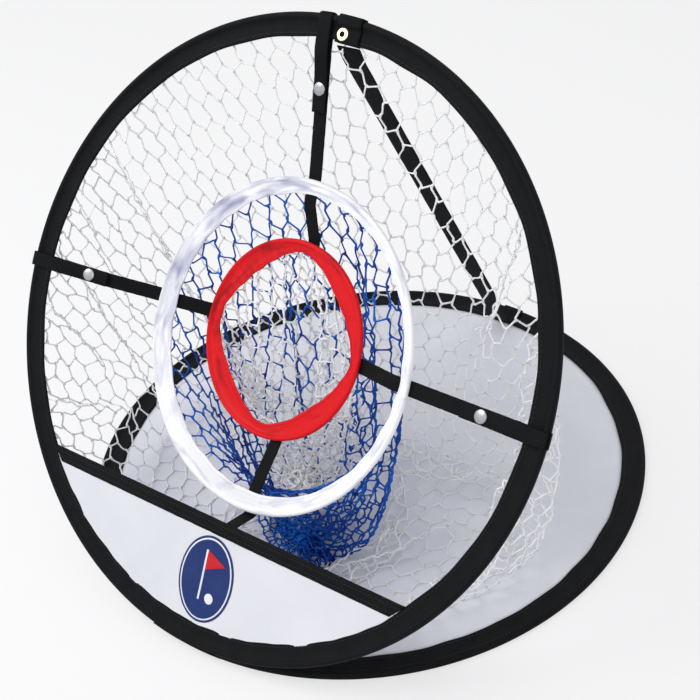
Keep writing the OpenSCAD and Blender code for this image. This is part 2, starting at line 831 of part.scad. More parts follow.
module pocket(centre, r, gather, around, rows) {
    hem_t = 0.04;
    ring_normal = unit(ring_row([0, 0, 1]) - ring_row([0, 0, 0]));
    function row_of(c) = floor(c / around) - 1;
    function col_of(c) = c % around;
    function id(i, j) = (j + 1) * around + (i + around) % around;
    function shift(j) = (j + 2) % 2 / 2;
    function holed(c) = row_of(c) >= 0 && row_of(c) < rows;
    function beside(c, k) = let (
            i = col_of(c),
            j = row_of(c),
            odd = (j + 2) % 2)
        k == 0 ? id(i + odd, j - 1) :
        k == 1 ? id(i + 1, j) :
        k == 2 ? id(i + odd, j + 1) :
        k == 3 ? id(i + odd - 1, j + 1) :
        k == 4 ? id(i - 1, j) :
        id(i + odd - 1, j - 1);
    function on_grid(x, y) = let (
            end_t = 0.02,
            t = hem_t + (1 - hem_t - end_t) * max(0, y + 1 / 3) / rows)
        on_pocket(centre, r, gather, 360 * x / around, min(1, t), hem_t);
    function rim_point(x, t) = on_pocket(centre, r, gather, 360 * x / around, t, hem_t);
    function corner_point(c, k) = let (
            x = col_of(c) + shift(row_of(c)),
            y = row_of(c),
            corner_y = y + corner[k].y)
        holed(c) ? drawn_in(on_grid(x + corner[k].x, corner_y), on_grid(x, corner_y < 0 ? -1 : y)) :
        rim_point(x + corner[k].x * 0.8, y < 0 ? 0 : 1);
    function cell_normal(c) = let (
            x = col_of(c) + shift(row_of(c)),
            y = row_of(c),
            e = 0.3)
        y < 0 ? ring_normal :
        y >= rows ? [0, 0, 1] :
        unit(cross(on_grid(x + e, y) - on_grid(x - e, y), on_grid(x, y - e) - on_grid(x, y + e)));
    all = [for (c = [0:around * (rows + 2) - 1]) c];
    net_sheet([for (c = all) if (holed(c)) c],
        function (c, k) beside(c, k),
        function (c) holed(c),
        [for (c = all, k = [0:5]) corner_point(c, k)],
        [for (c = all, k = [0:5]) cell_normal(c)]);
}

module blue_pocket() {
    color([0.05, 0.25, 0.6])
        pocket([0, 0, rim_w], white_in_r + ring_seam_depth - rim_gap, blue_gather, blue_cells,
            blue_rows);
}

module white_pocket() {
    color([0.94, 0.94, 0.96])
        pocket([red_at.x, red_at.y, rim_w - red_depth], red_in_r + ring_seam_depth - rim_gap,
            white_gather, white_cells, white_rows);
}

// The gathered end of a pocket: a knot in its mouth and a bunch that falls to one side
module tail(gather, tip) {
    knot = gather - [0, 0, knot_drop];
    bend = (knot + tip) / 2 - [0, 0, tail_r / 2];
    translate(knot)
        sphere(r = knot_r, $fn = 12);
    hull() {
        translate(knot)
            sphere(r = tail_r, $fn = 12);
        translate(bend)
            sphere(r = tail_r, $fn = 12);
    }
    hull() {
        translate(bend)
            sphere(r = tail_r, $fn = 12);
        translate(tip)
            sphere(r = tail_r, $fn = 12);
    }
}

module blue_pocket_tail() {
    color([0.05, 0.2, 0.52])
        tail(blue_gather, blue_tail_tip);
}

module white_pocket_tail() {
    color([0.9, 0.9, 0.93])
        tail(white_gather, white_tail_tip);
}

base_hoop_wire();
base_wire_ferrule();
base_hoop_sleeve();
floor_panel();
hinge_tape_base();
strap_foot();
front_hoop_wire();
front_wire_ferrule();
front_hoop_sleeve();
front_panel();
panel_binding();
hinge_tape_front();
strap_tab();
eyelet();
eyelet_washer();
rear_strap();
catch_net();
outer_arm(arm_dirs[0]);  // arm_right
outer_arm(arm_dirs[1]);  // arm_top
outer_arm(arm_dirs[2]);  // arm_left
arm_bottom();
snap_stud(arm_dirs[0]);  // snap_stud_right
snap_stud(arm_dirs[1]);  // snap_stud_top
snap_stud(arm_dirs[2]);  // snap_stud_left
snap_post(arm_dirs[0]);  // snap_post_right
snap_post(arm_dirs[1]);  // snap_post_top
snap_post(arm_dirs[2]);  // snap_post_left
flap(arm_dirs[0]);  // flap_right
flap(arm_dirs[1]);  // flap_top
flap(arm_dirs[2]);  // flap_left
snap_cap(arm_dirs[0]);  // snap_cap_right
snap_cap(arm_dirs[1]);  // snap_cap_top
snap_cap(arm_dirs[2]);  // snap_cap_left
snap_socket(arm_dirs[0]);  // snap_socket_right
snap_socket(arm_dirs[1]);  // snap_socket_top
snap_socket(arm_dirs[2]);  // snap_socket_left
white_ring_wire();
white_ring_ferrule();
white_ring_sleeve();
blue_pocket();
blue_pocket_tail();
inner_arm(arm_dirs[0]);  // inner_arm_right
inner_arm(arm_dirs[1]);  // inner_arm_top
inner_arm(arm_dirs[2]);  // inner_arm_left
inner_arm(arm_dirs[3]);  // inner_arm_bottom
red_ring_wire();
red_ring_ferrule();
red_ring_sleeve();
white_pocket();
white_pocket_tail();
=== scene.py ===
"""Golf chipping net: two sleeved spring hoops, a loose catching net and a two-ring target."""

import json
import math
from math import cos, pi, radians, sin

import bmesh
import bpy
import numpy as np
from mathutils import Matrix, Vector
from numpy.linalg import norm


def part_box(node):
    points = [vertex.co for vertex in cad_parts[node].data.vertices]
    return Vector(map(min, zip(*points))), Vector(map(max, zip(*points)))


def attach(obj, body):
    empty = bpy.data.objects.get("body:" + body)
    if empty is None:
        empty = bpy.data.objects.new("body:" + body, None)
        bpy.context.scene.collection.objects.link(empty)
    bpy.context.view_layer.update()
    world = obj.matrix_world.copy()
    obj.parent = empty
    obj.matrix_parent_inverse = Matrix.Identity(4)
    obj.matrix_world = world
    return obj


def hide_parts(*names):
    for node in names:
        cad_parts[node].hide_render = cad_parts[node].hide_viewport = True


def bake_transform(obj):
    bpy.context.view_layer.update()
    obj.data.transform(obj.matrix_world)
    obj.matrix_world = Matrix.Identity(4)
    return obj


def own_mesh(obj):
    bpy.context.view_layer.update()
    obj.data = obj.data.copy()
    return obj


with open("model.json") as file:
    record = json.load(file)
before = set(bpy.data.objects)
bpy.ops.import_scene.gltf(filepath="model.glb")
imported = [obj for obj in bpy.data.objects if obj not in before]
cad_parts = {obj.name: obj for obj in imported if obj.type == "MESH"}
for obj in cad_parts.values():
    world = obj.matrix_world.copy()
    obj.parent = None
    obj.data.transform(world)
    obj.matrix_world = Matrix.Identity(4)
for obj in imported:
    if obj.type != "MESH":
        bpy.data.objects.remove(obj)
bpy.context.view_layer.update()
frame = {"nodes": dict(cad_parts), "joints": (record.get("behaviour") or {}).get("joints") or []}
MM = 0.001


# ---- View ----
# A person's eye above and to the right of the hinge, turned a little, in a plain white studio.
# The floor and the backdrop are white card. A wide lamp stands over the left shoulder, a weaker
# one at the right.

eye = Vector((686, -794, 971)) * MM
sight = Vector((-0.5153, 0.5963, -0.6156))
eye_roll = radians(8.6)
lens_mm = 65.4


def new_object(name, data):
    """Puts a mesh, a lamp or a camera into the scene."""
    made = bpy.data.objects.new(name, data)
    bpy.context.scene.collection.objects.link(made)
    return made


camera = new_object("camera", bpy.data.cameras.new("camera"))
camera.data.lens = lens_mm
camera.data.clip_end = 20
level = sight.to_track_quat("-Z", "Y").to_matrix().to_4x4()
camera.matrix_world = Matrix.Translation(eye) @ level @ Matrix.Rotation(-eye_roll, 4, "Z")
bpy.context.scene.camera = camera


def linear(code):
    """sRGB hex to linear RGBA."""
    parts = [int(code[i : i + 2], 16) / 255 for i in (1, 3, 5)]
    return [c / 12.92 if c <= 0.04045 else ((c + 0.055) / 1.055) ** 2.4 for c in parts] + [1.0]


def new_material(name):
    """An empty node material and its tree."""
    material = bpy.data.materials.new(name)
    material.use_nodes = True
    material.node_tree.nodes.clear()
    return material, material.node_tree


def add(tree, kind, settings=None, **sockets):
    """Adds one node, of the tree's own sort unless its kind is a full name. Sockets are named with
    _ for a blank, or i0, i1 by number. A tuple is a link."""
    made = tree.nodes.new(kind if "Node" in kind else tree.bl_idname.replace("Tree", kind))
    for key, value in (settings or {}).items():
        setattr(made, key, value)
    for key, value in sockets.items():
        by_number = key[0] == "i" and key[1:].isdigit()
        target = made.inputs[int(key[1:])] if by_number else made.inputs[key.replace("_", " ")]
        if isinstance(value, tuple):
            tree.links.new(value[0].outputs[value[1]], target)
        else:
            target.default_value = value
    return made


def maths(tree, operation, *values):
    """A Math node on numbers or links, in order."""
    inputs = {f"i{k}": value for k, value in enumerate(values)}
    return add(tree, "ShaderNodeMath", {"operation": operation}, **inputs)


def mesh_piece(name, points, faces, material):
    """A smooth mesh from points and faces."""
    mesh = bpy.data.meshes.new(name)
    mesh.from_pydata(points, [], faces)
    mesh.polygons.foreach_set("use_smooth", [True] * len(faces))
    mesh.materials.append(material)
    return new_object(name, mesh)


floor_half, floor_z = 6.0, -0.4 * MM
floor_card, tree = new_material("floor_card")
plain = add(tree, "BsdfDiffuse", Color=linear("#f4f4f5"))
glow = add(tree, "Emission", Color=linear("#ffffff"), Strength=1.0)
path = add(tree, "LightPath")
share = maths(tree, "MULTIPLY", (path, "Is Camera Ray"), 0.62)
both = add(tree, "MixShader", i0=(share, 0), i1=(plain, 0), i2=(glow, 0))
add(tree, "OutputMaterial", Surface=(both, 0))
corners = [(x * floor_half, y * floor_half, floor_z) for x, y in ((-1, -1), (1, -1), (1, 1), (-1, 1))]
mesh_piece("floor", corners, [(0, 1, 2, 3)], floor_card)

world = bpy.data.worlds.new("studio")
bpy.context.scene.world = world
world.use_nodes = True
tree = world.node_tree
tree.nodes.clear()
path = add(tree, "LightPath")
room = add(tree, "Background", Color=linear("#f3f4f8"), Strength=0.6)
card = add(tree, "Background", Color=linear("#ffffff"), Strength=1.0)
seen = maths(tree, "MAXIMUM", (path, "Is Camera Ray"), (path, "Is Glossy Ray"))
both = add(tree, "MixShader", i0=(seen, 0), i1=(room, 0), i2=(card, 0))
add(tree, "OutputWorld", Surface=(both, 0))


def lamp(name, place, aim, size, watts):
    """A square soft lamp at a place, turned to a point."""
    light = bpy.data.lights.new(name, "AREA")
    light.size = size
    light.energy = watts
    made = new_object(name, light)
    made.location = place
    made.rotation_euler = (Vector(aim) - Vector(place)).to_track_quat("-Z", "Y").to_euler()


lamp("key", (-1.4, -1.2, 2.4), (0, 0, 0.15), 1.6, 40)
lamp("fill", (1.8, -1.6, 1.6), (0, 0, 0.2), 1.8, 12)
bpy.context.scene.view_settings.view_transform = "Standard"


# ---- Base hoop ----
# Spring wire in a folded black binding tape, sewn round the edge of a white floor cloth.
# The wire fills the outer edge into a bead, and the tape lies flat inside it.

joints = {joint["name"]: joint for joint in frame["joints"]}
hinge = Vector(joints["hoop_fold"]["pos_m"])
front_n = Vector(joints["white_ring_lift"]["axis"]).normalized()
front_u = Vector((0, front_n.z, -front_n.y))
sleeve_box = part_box("base_hoop_sleeve")
hoop_r = (sleeve_box[1][0] - sleeve_box[0][0]) / 2
bead_h = sleeve_box[1][2]
base_band = 25 * MM
web_t = 3.4 * MM
heel = 1.5 * MM
sleeve_steps = 540
seam_col, seam_lift = 19, 0.1 * MM  # the point of a section where its stitches run


def smooth_noise(seed, turns, waves):
    """A smooth function of an angle in turns that closes on itself, about -1 to 1."""
    rng = np.random.default_rng(seed)
    parts = 9
    counts = rng.integers(min(waves), max(waves) + 1, parts)
    phases = rng.random(parts) * 2 * pi
    return sum(np.sin(2 * pi * n * turns + p) for n, p in zip(counts, phases)) / (parts / 2)


def grid_piece(name, points, close_rows, close_cols, material):
    """A mesh from rows of points, with a UV map in metres along the rows and columns."""
    rows, cols = points.shape[:2]
    row_step = norm(np.diff(points, axis=0, append=points[:1]), axis=2).mean(axis=1)
    col_step = norm(np.diff(points, axis=1, append=points[:, :1]), axis=2).mean(axis=0)
    u = np.concatenate([[0], np.cumsum(row_step)])
    v = np.concatenate([[0], np.cumsum(col_step)])
    faces, uvs = [], []
    for i in range(rows if close_rows else rows - 1):
        for j in range(cols if close_cols else cols - 1):
            around = [(i, j), (i + 1, j), (i + 1, j + 1), (i, j + 1)]
            faces.append([(a % rows) * cols + b % cols for a, b in around])
            uvs += [(u[a], v[b]) for a, b in around]
    piece = mesh_piece(name, points.reshape(-1, 3).tolist(), faces, material)
    piece.data.uv_layers.new(name="UVMap").data.foreach_set("uv", np.array(uvs).ravel())
    return piece


def dress(piece, body, slot, *nodes):
    """A piece rides with a body, unless it is blended, and stands for nodes, which are hidden. Its slot is
    not used.
    """
    if body:
        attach(piece, body)
    if nodes:
        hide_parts(*nodes)


def arc(cx, cy, r, a0, a1, n):
    """Points along an arc, in degrees."""
    turns = np.radians(np.linspace(a0, a1, n))
    return [(cx + r * cos(t), cy + r * sin(t)) for t in turns]


def sleeve_section(r, band, bead, web):
    """Outline of a sleeve as (distance out, height): flat back, round bead, thin web inwards."""
    b = bead / 2
    inner = r - band
    web_top = [(r - bead - 2 * MM, web * 1.06), (inner + band * 0.4, web * 0.96)]
    web_top.append((inner + band * 0.15, web * 0.9))
    return np.array(
        [(inner + band * k, 0) for k in (0.25, 0.5, 0.75)]
        + arc(r - heel, heel, heel, -90, 0, 4)
        + arc(r - b, b, b, 4, 150, 10)
        + web_top
        + arc(inner + web * 0.4, web * 0.45, web * 0.45, 90, 270, 6)
    )


def spun(turns, out, height):
    """Points round an axis, from their distances out and heights at each turn."""
    angle = 2 * pi * turns[:, None]
    return np.stack([out * np.cos(angle), out * np.sin(angle), height], axis=2)


def hoop_points(band, edge_wave, seed):
    """A hoop sleeve's points in its plane: its inner edge wanders and its web ripples a little."""
    section = sleeve_section(hoop_r, band, bead_h, web_t)
    turns = np.arange(sleeve_steps) / sleeve_steps
    edge = edge_wave * smooth_noise(seed, turns, (9, 38))
    lift = 0.25 * smooth_noise(seed + 1, turns, (16, 60))
    out = section[None, :, 0] + np.zeros((sleeve_steps, 1))
    inward = np.clip((hoop_r - out) / band, 0, 1)
    height = section[None, :, 1] * (1 + lift[:, None] * inward * 0.5)
    return spun(turns, out + edge[:, None] * inward**2, height)


def seam_line(points):
    """Where a sleeve's stitches run: just over its web, closed on itself."""
    line = points[:, seam_col] + (0, 0, seam_lift)
    return line[np.arange(len(line) + 1) % len(line)]


def textured(name):
    """A new material, its tree and its coordinates."""
    material, tree = new_material(name)
    return material, tree, add(tree, "TexCoord")


def noise(tree, spot, scale, detail, **sockets):
    """Noise in the piece's own coordinates."""
    return add(tree, "TexNoise", Vector=(spot, "Object"), Scale=scale, Detail=detail, **sockets)


def bands(tree, spot, direction, pitch, distortion):
    """Parallel bands at a pitch in metres. A wave texture repeats every 0.314 over its scale."""
    at = {"Vector": (spot, "UV"), "Scale": 0.314 / pitch, "Distortion": distortion}
    return add(tree, "TexWave", {"bands_direction": direction}, **at)


def ramp(tree, value, *stops):
    """A colour ramp through stops of (position, hex colour)."""
    made = add(tree, "ValToRGB", i0=value)
    points = made.color_ramp.elements
    points[0].position, points[0].color = stops[0][0], linear(stops[0][1])
    points[1].position, points[1].color = stops[-1][0], linear(stops[-1][1])
    for place, code in stops[1:-1]:
        points.new(place).color = linear(code)
    return made


def surface(tree, colour, roughness, relief, shine=0.5, **sockets):
    """Ends a material. Its relief is (height, strength, distance)."""
    bump = add(tree, "Bump", Strength=relief[1], Distance=relief[2], Height=relief[0])
    sockets.update(Base_Color=colour, Roughness=roughness, Normal=(bump, 0), Specular_IOR_Level=shine)
    skin = add(tree, "BsdfPrincipled", **sockets)
    add(tree, "OutputMaterial", Surface=(skin, 0))


# Woven polyester tape: near black, soft sheen, a fine cross weave drawn a little coarse.
tape_pitch = 0.9 * MM
binding_tape, tree, spot = textured("binding_tape")
warp = bands(tree, spot, "X", tape_pitch, 0.3)
weft = bands(tree, spot, "Y", tape_pitch, 0.3)
weave = maths(tree, "MULTIPLY", (warp, "Fac"), (weft, "Fac"))
folds = noise(tree, spot, 45.0, 3.0)
height = maths(tree, "MULTIPLY_ADD", (folds, "Fac"), 3.0, (weave, 0))
tint = ramp(tree, (folds, "Fac"), (0.3, "#0b0c0e"), (0.75, "#121316"))
surface(tree, (tint, 0), 0.62, ((height, 0), 0.35, 0.0004), 0.1)

points = hoop_points(base_band, 0.7 * MM, 3)
base_tape = grid_piece("base_binding", points, True, True, binding_tape)
dress(base_tape, "base", "black_binding", "base_hoop_sleeve")
base_seam = seam_line(points)


def cloth(name, low, high):
    """White coated polyester cloth: slow waves and a fine plain weave. Its colour is darker in the low
    parts of the waves, a painted fold shade.
    """
    material, tree, spot = textured(name)
    waves = noise(tree, spot, 9.0, 2.0, Distortion=0.6)
    threads = add(tree, "TexVoronoi", Vector=(spot, "Object"), Scale=900.0)
    height = maths(tree, "MULTIPLY_ADD", (waves, "Fac"), 9.0, (threads, "Distance"))
    # Painted fold shade: the low colour goes where the waves are low, and the high colour where they are
    # high.
    tint = ramp(tree, (waves, "Fac"), (0.25, low), (0.8, high))
    surface(tree, (tint, 0), 0.5, ((height, 0), 0.3, 0.0006), 0.2)
    return material


# The floor cloth's lavender grey is its white cloth with painted shade in it.
floor_fabric = cloth("floor_polyester", "#dfe1ea", "#eeeff4")
floor_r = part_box("floor_panel")[1][0]
floor_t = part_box("floor_panel")[1][2]
slack = 0.2 * MM


def floor_height(x, y):
    """The floor cloth's middle: the faintest waves, drawn flat at the hoop."""
    calm = np.clip(1 - np.hypot(x, y) / floor_r, 0, 1)
    return floor_t * 0.5 + slack * np.sin(x * 21 + 1) * np.sin(y * 17 + 0.4) * calm


def disc_piece(name, r, rings, steps, height, material):
    """A round cloth in its own plane, from rings of points and one in the middle."""
    angle = 2 * pi * (np.arange(steps) / steps)[:, None]
    radii = np.linspace(1, 0, rings + 1)[:-1] * r
    x, y = radii * np.cos(angle), radii * np.sin(angle)
    points = np.stack([x, y, height(x, y)], axis=2).reshape(-1, 3).tolist()
    points.append((0, 0, float(height(0.0, 0.0))))
    spokes = [(i * rings, (i + 1) % steps * rings) for i in range(steps)]
    faces = [(a + j, b + j, b + j + 1, a + j + 1) for a, b in spokes for j in range(rings - 1)]
    faces += [(a + rings - 1, b + rings - 1, steps * rings) for a, b in spokes]
    return mesh_piece(name, points, faces, material)


def keep_result(piece):
    """Swaps a piece's mesh for what its modifiers make of it."""
    bpy.context.view_layer.update()
    evaluated = piece.evaluated_get(bpy.context.evaluated_depsgraph_get())
    made, old = bpy.data.meshes.new_from_object(evaluated), piece.data
    piece.modifiers.clear()
    piece.data = made
    bpy.data.meshes.remove(old)


def give_wall(piece, thickness):
    """Turns a sheet into cloth with two sides, grown evenly about it."""
    wall = piece.modifiers.new("wall", "SOLIDIFY")
    wall.thickness = thickness
    wall.offset = 0
    keep_result(piece)


floor_cloth = disc_piece("floor_cloth", floor_r, 40, 160, floor_height, floor_fabric)
give_wall(floor_cloth, floor_t * 0.6)
dress(floor_cloth, "base", "white_cloth", "floor_panel")


# ---- Front hoop ----
# The same build as the base hoop, with a narrower tape, leaning back from the hinge.

front_band = 22 * MM
front_lift = 0.3 * MM
front_v = hoop_r + 0.6 * MM
front_centre = np.array(hinge + front_u * front_v)
lean_up, lean_out = np.array(front_u), np.array(front_n)


def in_front(points):
    """From the front hoop's plane (across, up the plane, out of its front) to the frame."""
    return points @ np.array([[1, 0, 0], lean_up, lean_out]) + front_centre


points = hoop_points(front_band, 0.8 * MM, 11) + (0, 0, front_lift)
front_tape = grid_piece("front_binding", in_front(points), True, True, binding_tape)
dress(front_tape, "front", "black_binding", "front_hoop_sleeve")
front_seam = in_front(seam_line(points))


# ---- Target rings ----
# Two wire rings in cloth sleeves. The white sleeve turns on its wire, so it looks wide at the left
# and narrow at the right, and the red one is drawn in between the four arms.

white_r, red_r = 163 * MM, 99 * MM
target_band, target_bead, target_web = 20 * MM, 5 * MM, 2.4 * MM
white_at = (-3 * MM, -7 * MM, -26.2 * MM)
red_at = (-9 * MM, 5 * MM, -20 * MM)
ring_turn = radians(5)


def in_ring(points):
    """From the white ring's plane (across, up, out of its front) to the frame."""
    x, y, z = np.moveaxis(np.asarray(points, float), -1, 0)
    across = white_at[0] + x * cos(ring_turn) - z * sin(ring_turn)
    out = white_at[2] + x * sin(ring_turn) + z * cos(ring_turn)
    return in_front(np.stack([across, white_at[1] + y, out], axis=-1))


def fold_field(turns, cols, seed, count):
    """Slanting folds round a band: a ripple whose place shifts across the band."""
    rng = np.random.default_rng(seed)
    field = np.zeros((len(turns), cols))
    across = np.linspace(0, 1, cols)[None]
    for _ in range(count):
        waves, slant, phase = rng.integers(18, 60), rng.uniform(0.6, 2.2), rng.uniform(0, 2 * pi)
        field += np.sin(2 * pi * (waves * turns[:, None]) + slant * across * 3 + phase)
    return field / count


def ring_tape(colour, at, r, band_at, puff, puff_side, seed, material, steps=360):
    """A ring's sleeve, and its seam. band_at gives its width by angle, and its folds are higher by
    puff towards puff_side."""
    turns = np.arange(steps) / steps
    angle = 2 * pi * turns
    section = sleeve_section(r, target_band, target_bead, target_web)
    inward = np.clip((r - section[:, 0]) / target_band, 0, 1)
    band = band_at(angle) + 0.8 * MM * smooth_noise(seed, turns, (9, 34))
    out = r - (r - section[None, :, 0]) * np.where(inward > 0.3, band[:, None] / target_band, 1)
    rise = (0.35 + puff * np.clip(np.cos(angle - radians(puff_side)), 0, 1)) * MM
    on_top = np.clip(inward[None] * 1.6, 0, 1) * (section[None, :, 1] > 1 * MM)
    folds = rise[:, None] * fold_field(turns, len(section), seed + 1, 5)
    height = section[None, :, 1] - target_bead / 2 + folds * on_top
    points = spun(turns, out, height) + np.array(at)
    piece = grid_piece(colour + "_ring_tape", in_ring(points), True, True, material)
    dress(piece, colour + "_target", colour + "_ring_cloth", colour + "_ring_sleeve")
    return in_ring(seam_line(points))


def ring_cloth(name, light, painted_shade, painted_deep_shade, upper_left_painted_shade):
    """Satin sleeve cloth with painted shade: slanting fold noise darkens its colour as painted crease
    shade, and it darkens more towards the upper left as painted shade.
    """
    material, tree, spot = textured(name)
    slant = {"Rotation": [0, 0, radians(24)], "Scale": [26, 110, 1]}
    turned = add(tree, "Mapping", Vector=(spot, "UV"), **slant)
    grain = {"Scale": 1.0, "Detail": 3.0, "Roughness": 0.45, "Distortion": 0.6}
    folds = add(tree, "TexNoise", Vector=(turned, 0), **grain)
    # Painted shade mask: it grows towards the left and the top of the piece, from its own X and Z.
    parts = add(tree, "SeparateXYZ", i0=(spot, "Object"))
    left = maths(tree, "MULTIPLY_ADD", (parts, "X"), -3.2, 0.0)
    high = maths(tree, "MULTIPLY_ADD", (parts, "Z"), 2.6, -0.62)
    both = maths(tree, "ADD", (left, 0), (high, 0))
    both.use_clamp = True
    # Fold noise plus the painted upper-left shade set how far the colour falls into the painted shade
    # colours.
    push = maths(tree, "MULTIPLY_ADD", (both, 0), upper_left_painted_shade, (folds, "Fac"))
    tint = ramp(tree, (push, 0), (0.52, light), (0.68, painted_shade), (0.92, painted_deep_shade))
    surface(tree, (tint, 0), 0.48, ((folds, "Fac"), 0.5, 0.0008), 0.15)
    return material


# Each ring: its own white or red, then a painted shade and a painted deep shade.
white_satin = ring_cloth("white_satin", "#fbfbfd", "#dcdde8", "#9ea0ba", 0.38)
red_satin = ring_cloth("red_satin", "#de161e", "#c8131b", "#7e0c12", 0.4)


def white_band(angle):
    """The white sleeve's width: wide at the left and the bottom."""
    return (17.8 - 6.0 * np.cos(angle) - 3.0 * np.sin(angle)) * MM


def red_band(angle):
    """The red sleeve's width: wide between the arms, so that its hole is a soft diamond."""
    between = 11 * np.abs(np.sin(2 * angle)) ** 1.3
    return (12.5 + between + 1.2 * np.cos(angle - radians(225))) * MM


white_seam = ring_tape("white", (0, 0, 0), white_r, white_band, 0.45, 130, 41, white_satin)
red_seam = ring_tape("red", red_at, red_r, red_band, 0.3, 140, 47, red_satin)


# ---- Straps ----
# Flat woven webbing: the target's arms, the snap flaps, the rear strap with its tab and foot, and
# the hinge tape. Each is swept along its route with rounded edges and a slight crown.

webbing, tree, spot = textured("black_webbing_weave")
ribs = bands(tree, spot, "X", 1.5 * MM, 0.4)
chevron = bands(tree, spot, "DIAGONAL", 2.2 * MM, 0.2)
weave = maths(tree, "ADD", (ribs, "Fac"), (chevron, "Fac"))
rub = noise(tree, spot, 60.0, 3.0)
tint = ramp(tree, (rub, "Fac"), (0.3, "#08090a"), (0.75, "#101113"))
surface(tree, (tint, 0), 0.68, ((weave, 0), 0.4, 0.0003), 0.1)
strap_t = 1.2 * MM


def close_loops(piece, loops, ahead=None):
    """Fills loops of points with a face each. All faces then look outwards, or ahead on the whole."""
    made = bmesh.new()
    made.from_mesh(piece.data)
    made.verts.ensure_lookup_table()
    for loop in loops:
        made.faces.new([made.verts[k] for k in loop])
    bmesh.ops.recalc_face_normals(made, faces=made.faces)
    if ahead is not None and sum(face.normal.dot(ahead) * face.calc_area() for face in made.faces) < 0:
        bmesh.ops.reverse_faces(made, faces=made.faces)
    made.to_mesh(piece.data)
    made.free()


def add_caps(piece, rows, cols):
    """Closes the two ends of a swept piece."""
    close_loops(piece, (range(cols), range(rows * cols - 1, (rows - 1) * cols - 1, -1)))


def along_route(corners, spacing, rounding):
    """A polyline's points at an even spacing, with its corners rounded."""
    corners = np.asarray(corners, float)
    legs = norm(np.diff(corners, axis=0), axis=1)
    far = np.concatenate([[0], np.cumsum(legs)])
    at = np.linspace(0, far[-1], max(4, int(far[-1] / spacing)))
    points = np.stack([np.interp(at, far, corners[:, k]) for k in range(3)], axis=1)
    for _ in range(rounding):
        points[1:-1] = (points[:-2] + 2 * points[1:-1] + points[2:]) / 4
    return points


def strap(name, corners, across, width, seed, spacing=2 * MM, rounding=3):
    """A flat strap along a route. Its edges are rounded and wander a little."""
    route = along_route(corners, spacing, rounding)
    across = np.asarray(across, float) / norm(across)
    tangent = np.gradient(route, axis=0)
    tangent /= norm(tangent, axis=1, keepdims=True)
    up = np.cross(tangent, across)
    up /= norm(up, axis=1, keepdims=True)
    half, edge = width / 2, strap_t / 2
    turns = np.radians([-60, -20, 20, 60])
    side = [(half - edge + edge * cos(t), edge * sin(t)) for t in turns]
    top = [(half * k, edge * (1 + 0.12 * (1 - k * k))) for k in (0.75, 0.4, 0, -0.4, -0.75)]
    ring = np.array(side + top + [(-x, -y) for x, y in side + top])
    wander = 0.15 * MM * smooth_noise(seed, np.linspace(0, 1, len(route)) * 0.7, (6, 30))
    sideways = across * (ring[None, :, 0, None] + wander[:, None, None])
    points = route[:, None] + sideways + up[:, None] * ring[None, :, 1, None]
    piece = grid_piece(name, points, False, True, webbing)
    add_caps(piece, len(route), len(ring))
    return piece


# Places along an arm: s is the distance from the middle of the front hoop, w the height over its
# plane.
arm_w = 14.5 * MM
arm_dirs = {"right": 0.4, "top": 92.0, "left": 179.8, "bottom": 276.0}
seat_gap = 0.3 * MM
seated = seat_gap + strap_t / 2
panel_h = 120 * MM
web_h = 3.6 * MM
front_in_r = hoop_r - front_band
back_w = front_lift - seated
bead_top_w = front_lift + bead_h + seated
web_top_w = front_lift + web_h + seated
wrap_s = hoop_r + seated
sleeve_out_s = front_in_r - 3 * MM
bead_in_s, web_in_s = hoop_r - bead_h - 0.5 * MM, hoop_r - 10 * MM
snap_s, flap_tip_s, snap_gap = hoop_r - 66 * MM, hoop_r - 88 * MM, 2.8 * MM
knee_s = flap_tip_s - 3 * MM
steepest = radians(15)
arm_behind = target_bead / 2 + seated


def edge_s(x, y, r, turn):
    """Distance from the arms' crossing to a ring's edge, in a direction."""
    along = x * cos(turn) + y * sin(turn)
    return along + math.sqrt(r * r - x * x - y * y + along * along)


def ring_back(s, turn):
    """Depth of an outer arm behind the white ring."""
    over = s * cos(turn) - white_at[0] - arm_w / 2 * abs(sin(turn))
    return white_at[2] - arm_behind / cos(ring_turn) + over * math.tan(ring_turn)


def arm_depth(s, slope):
    """Depth of an outer arm where it slopes down from the sleeve's back."""
    return back_w - (sleeve_out_s - s) * math.tan(slope)


def in_direction(turn, path, place):
    """Points (distance out, height) of a path in a direction, through in_front or in_ring."""
    s, w = np.asarray(path, float).T
    return place(np.stack([s * cos(turn), s * sin(turn), w], axis=1))


def in_arms(points):
    """The rings' plane, measured from the arms' crossing."""
    return in_ring(points - np.array([white_at[0], white_at[1], 0]))


def across_arm(turn, place):
    """The way across a strap that runs out in a direction."""
    return (place(np.array([[-sin(turn), cos(turn), 0]])) - place(np.zeros((1, 3))))[0]


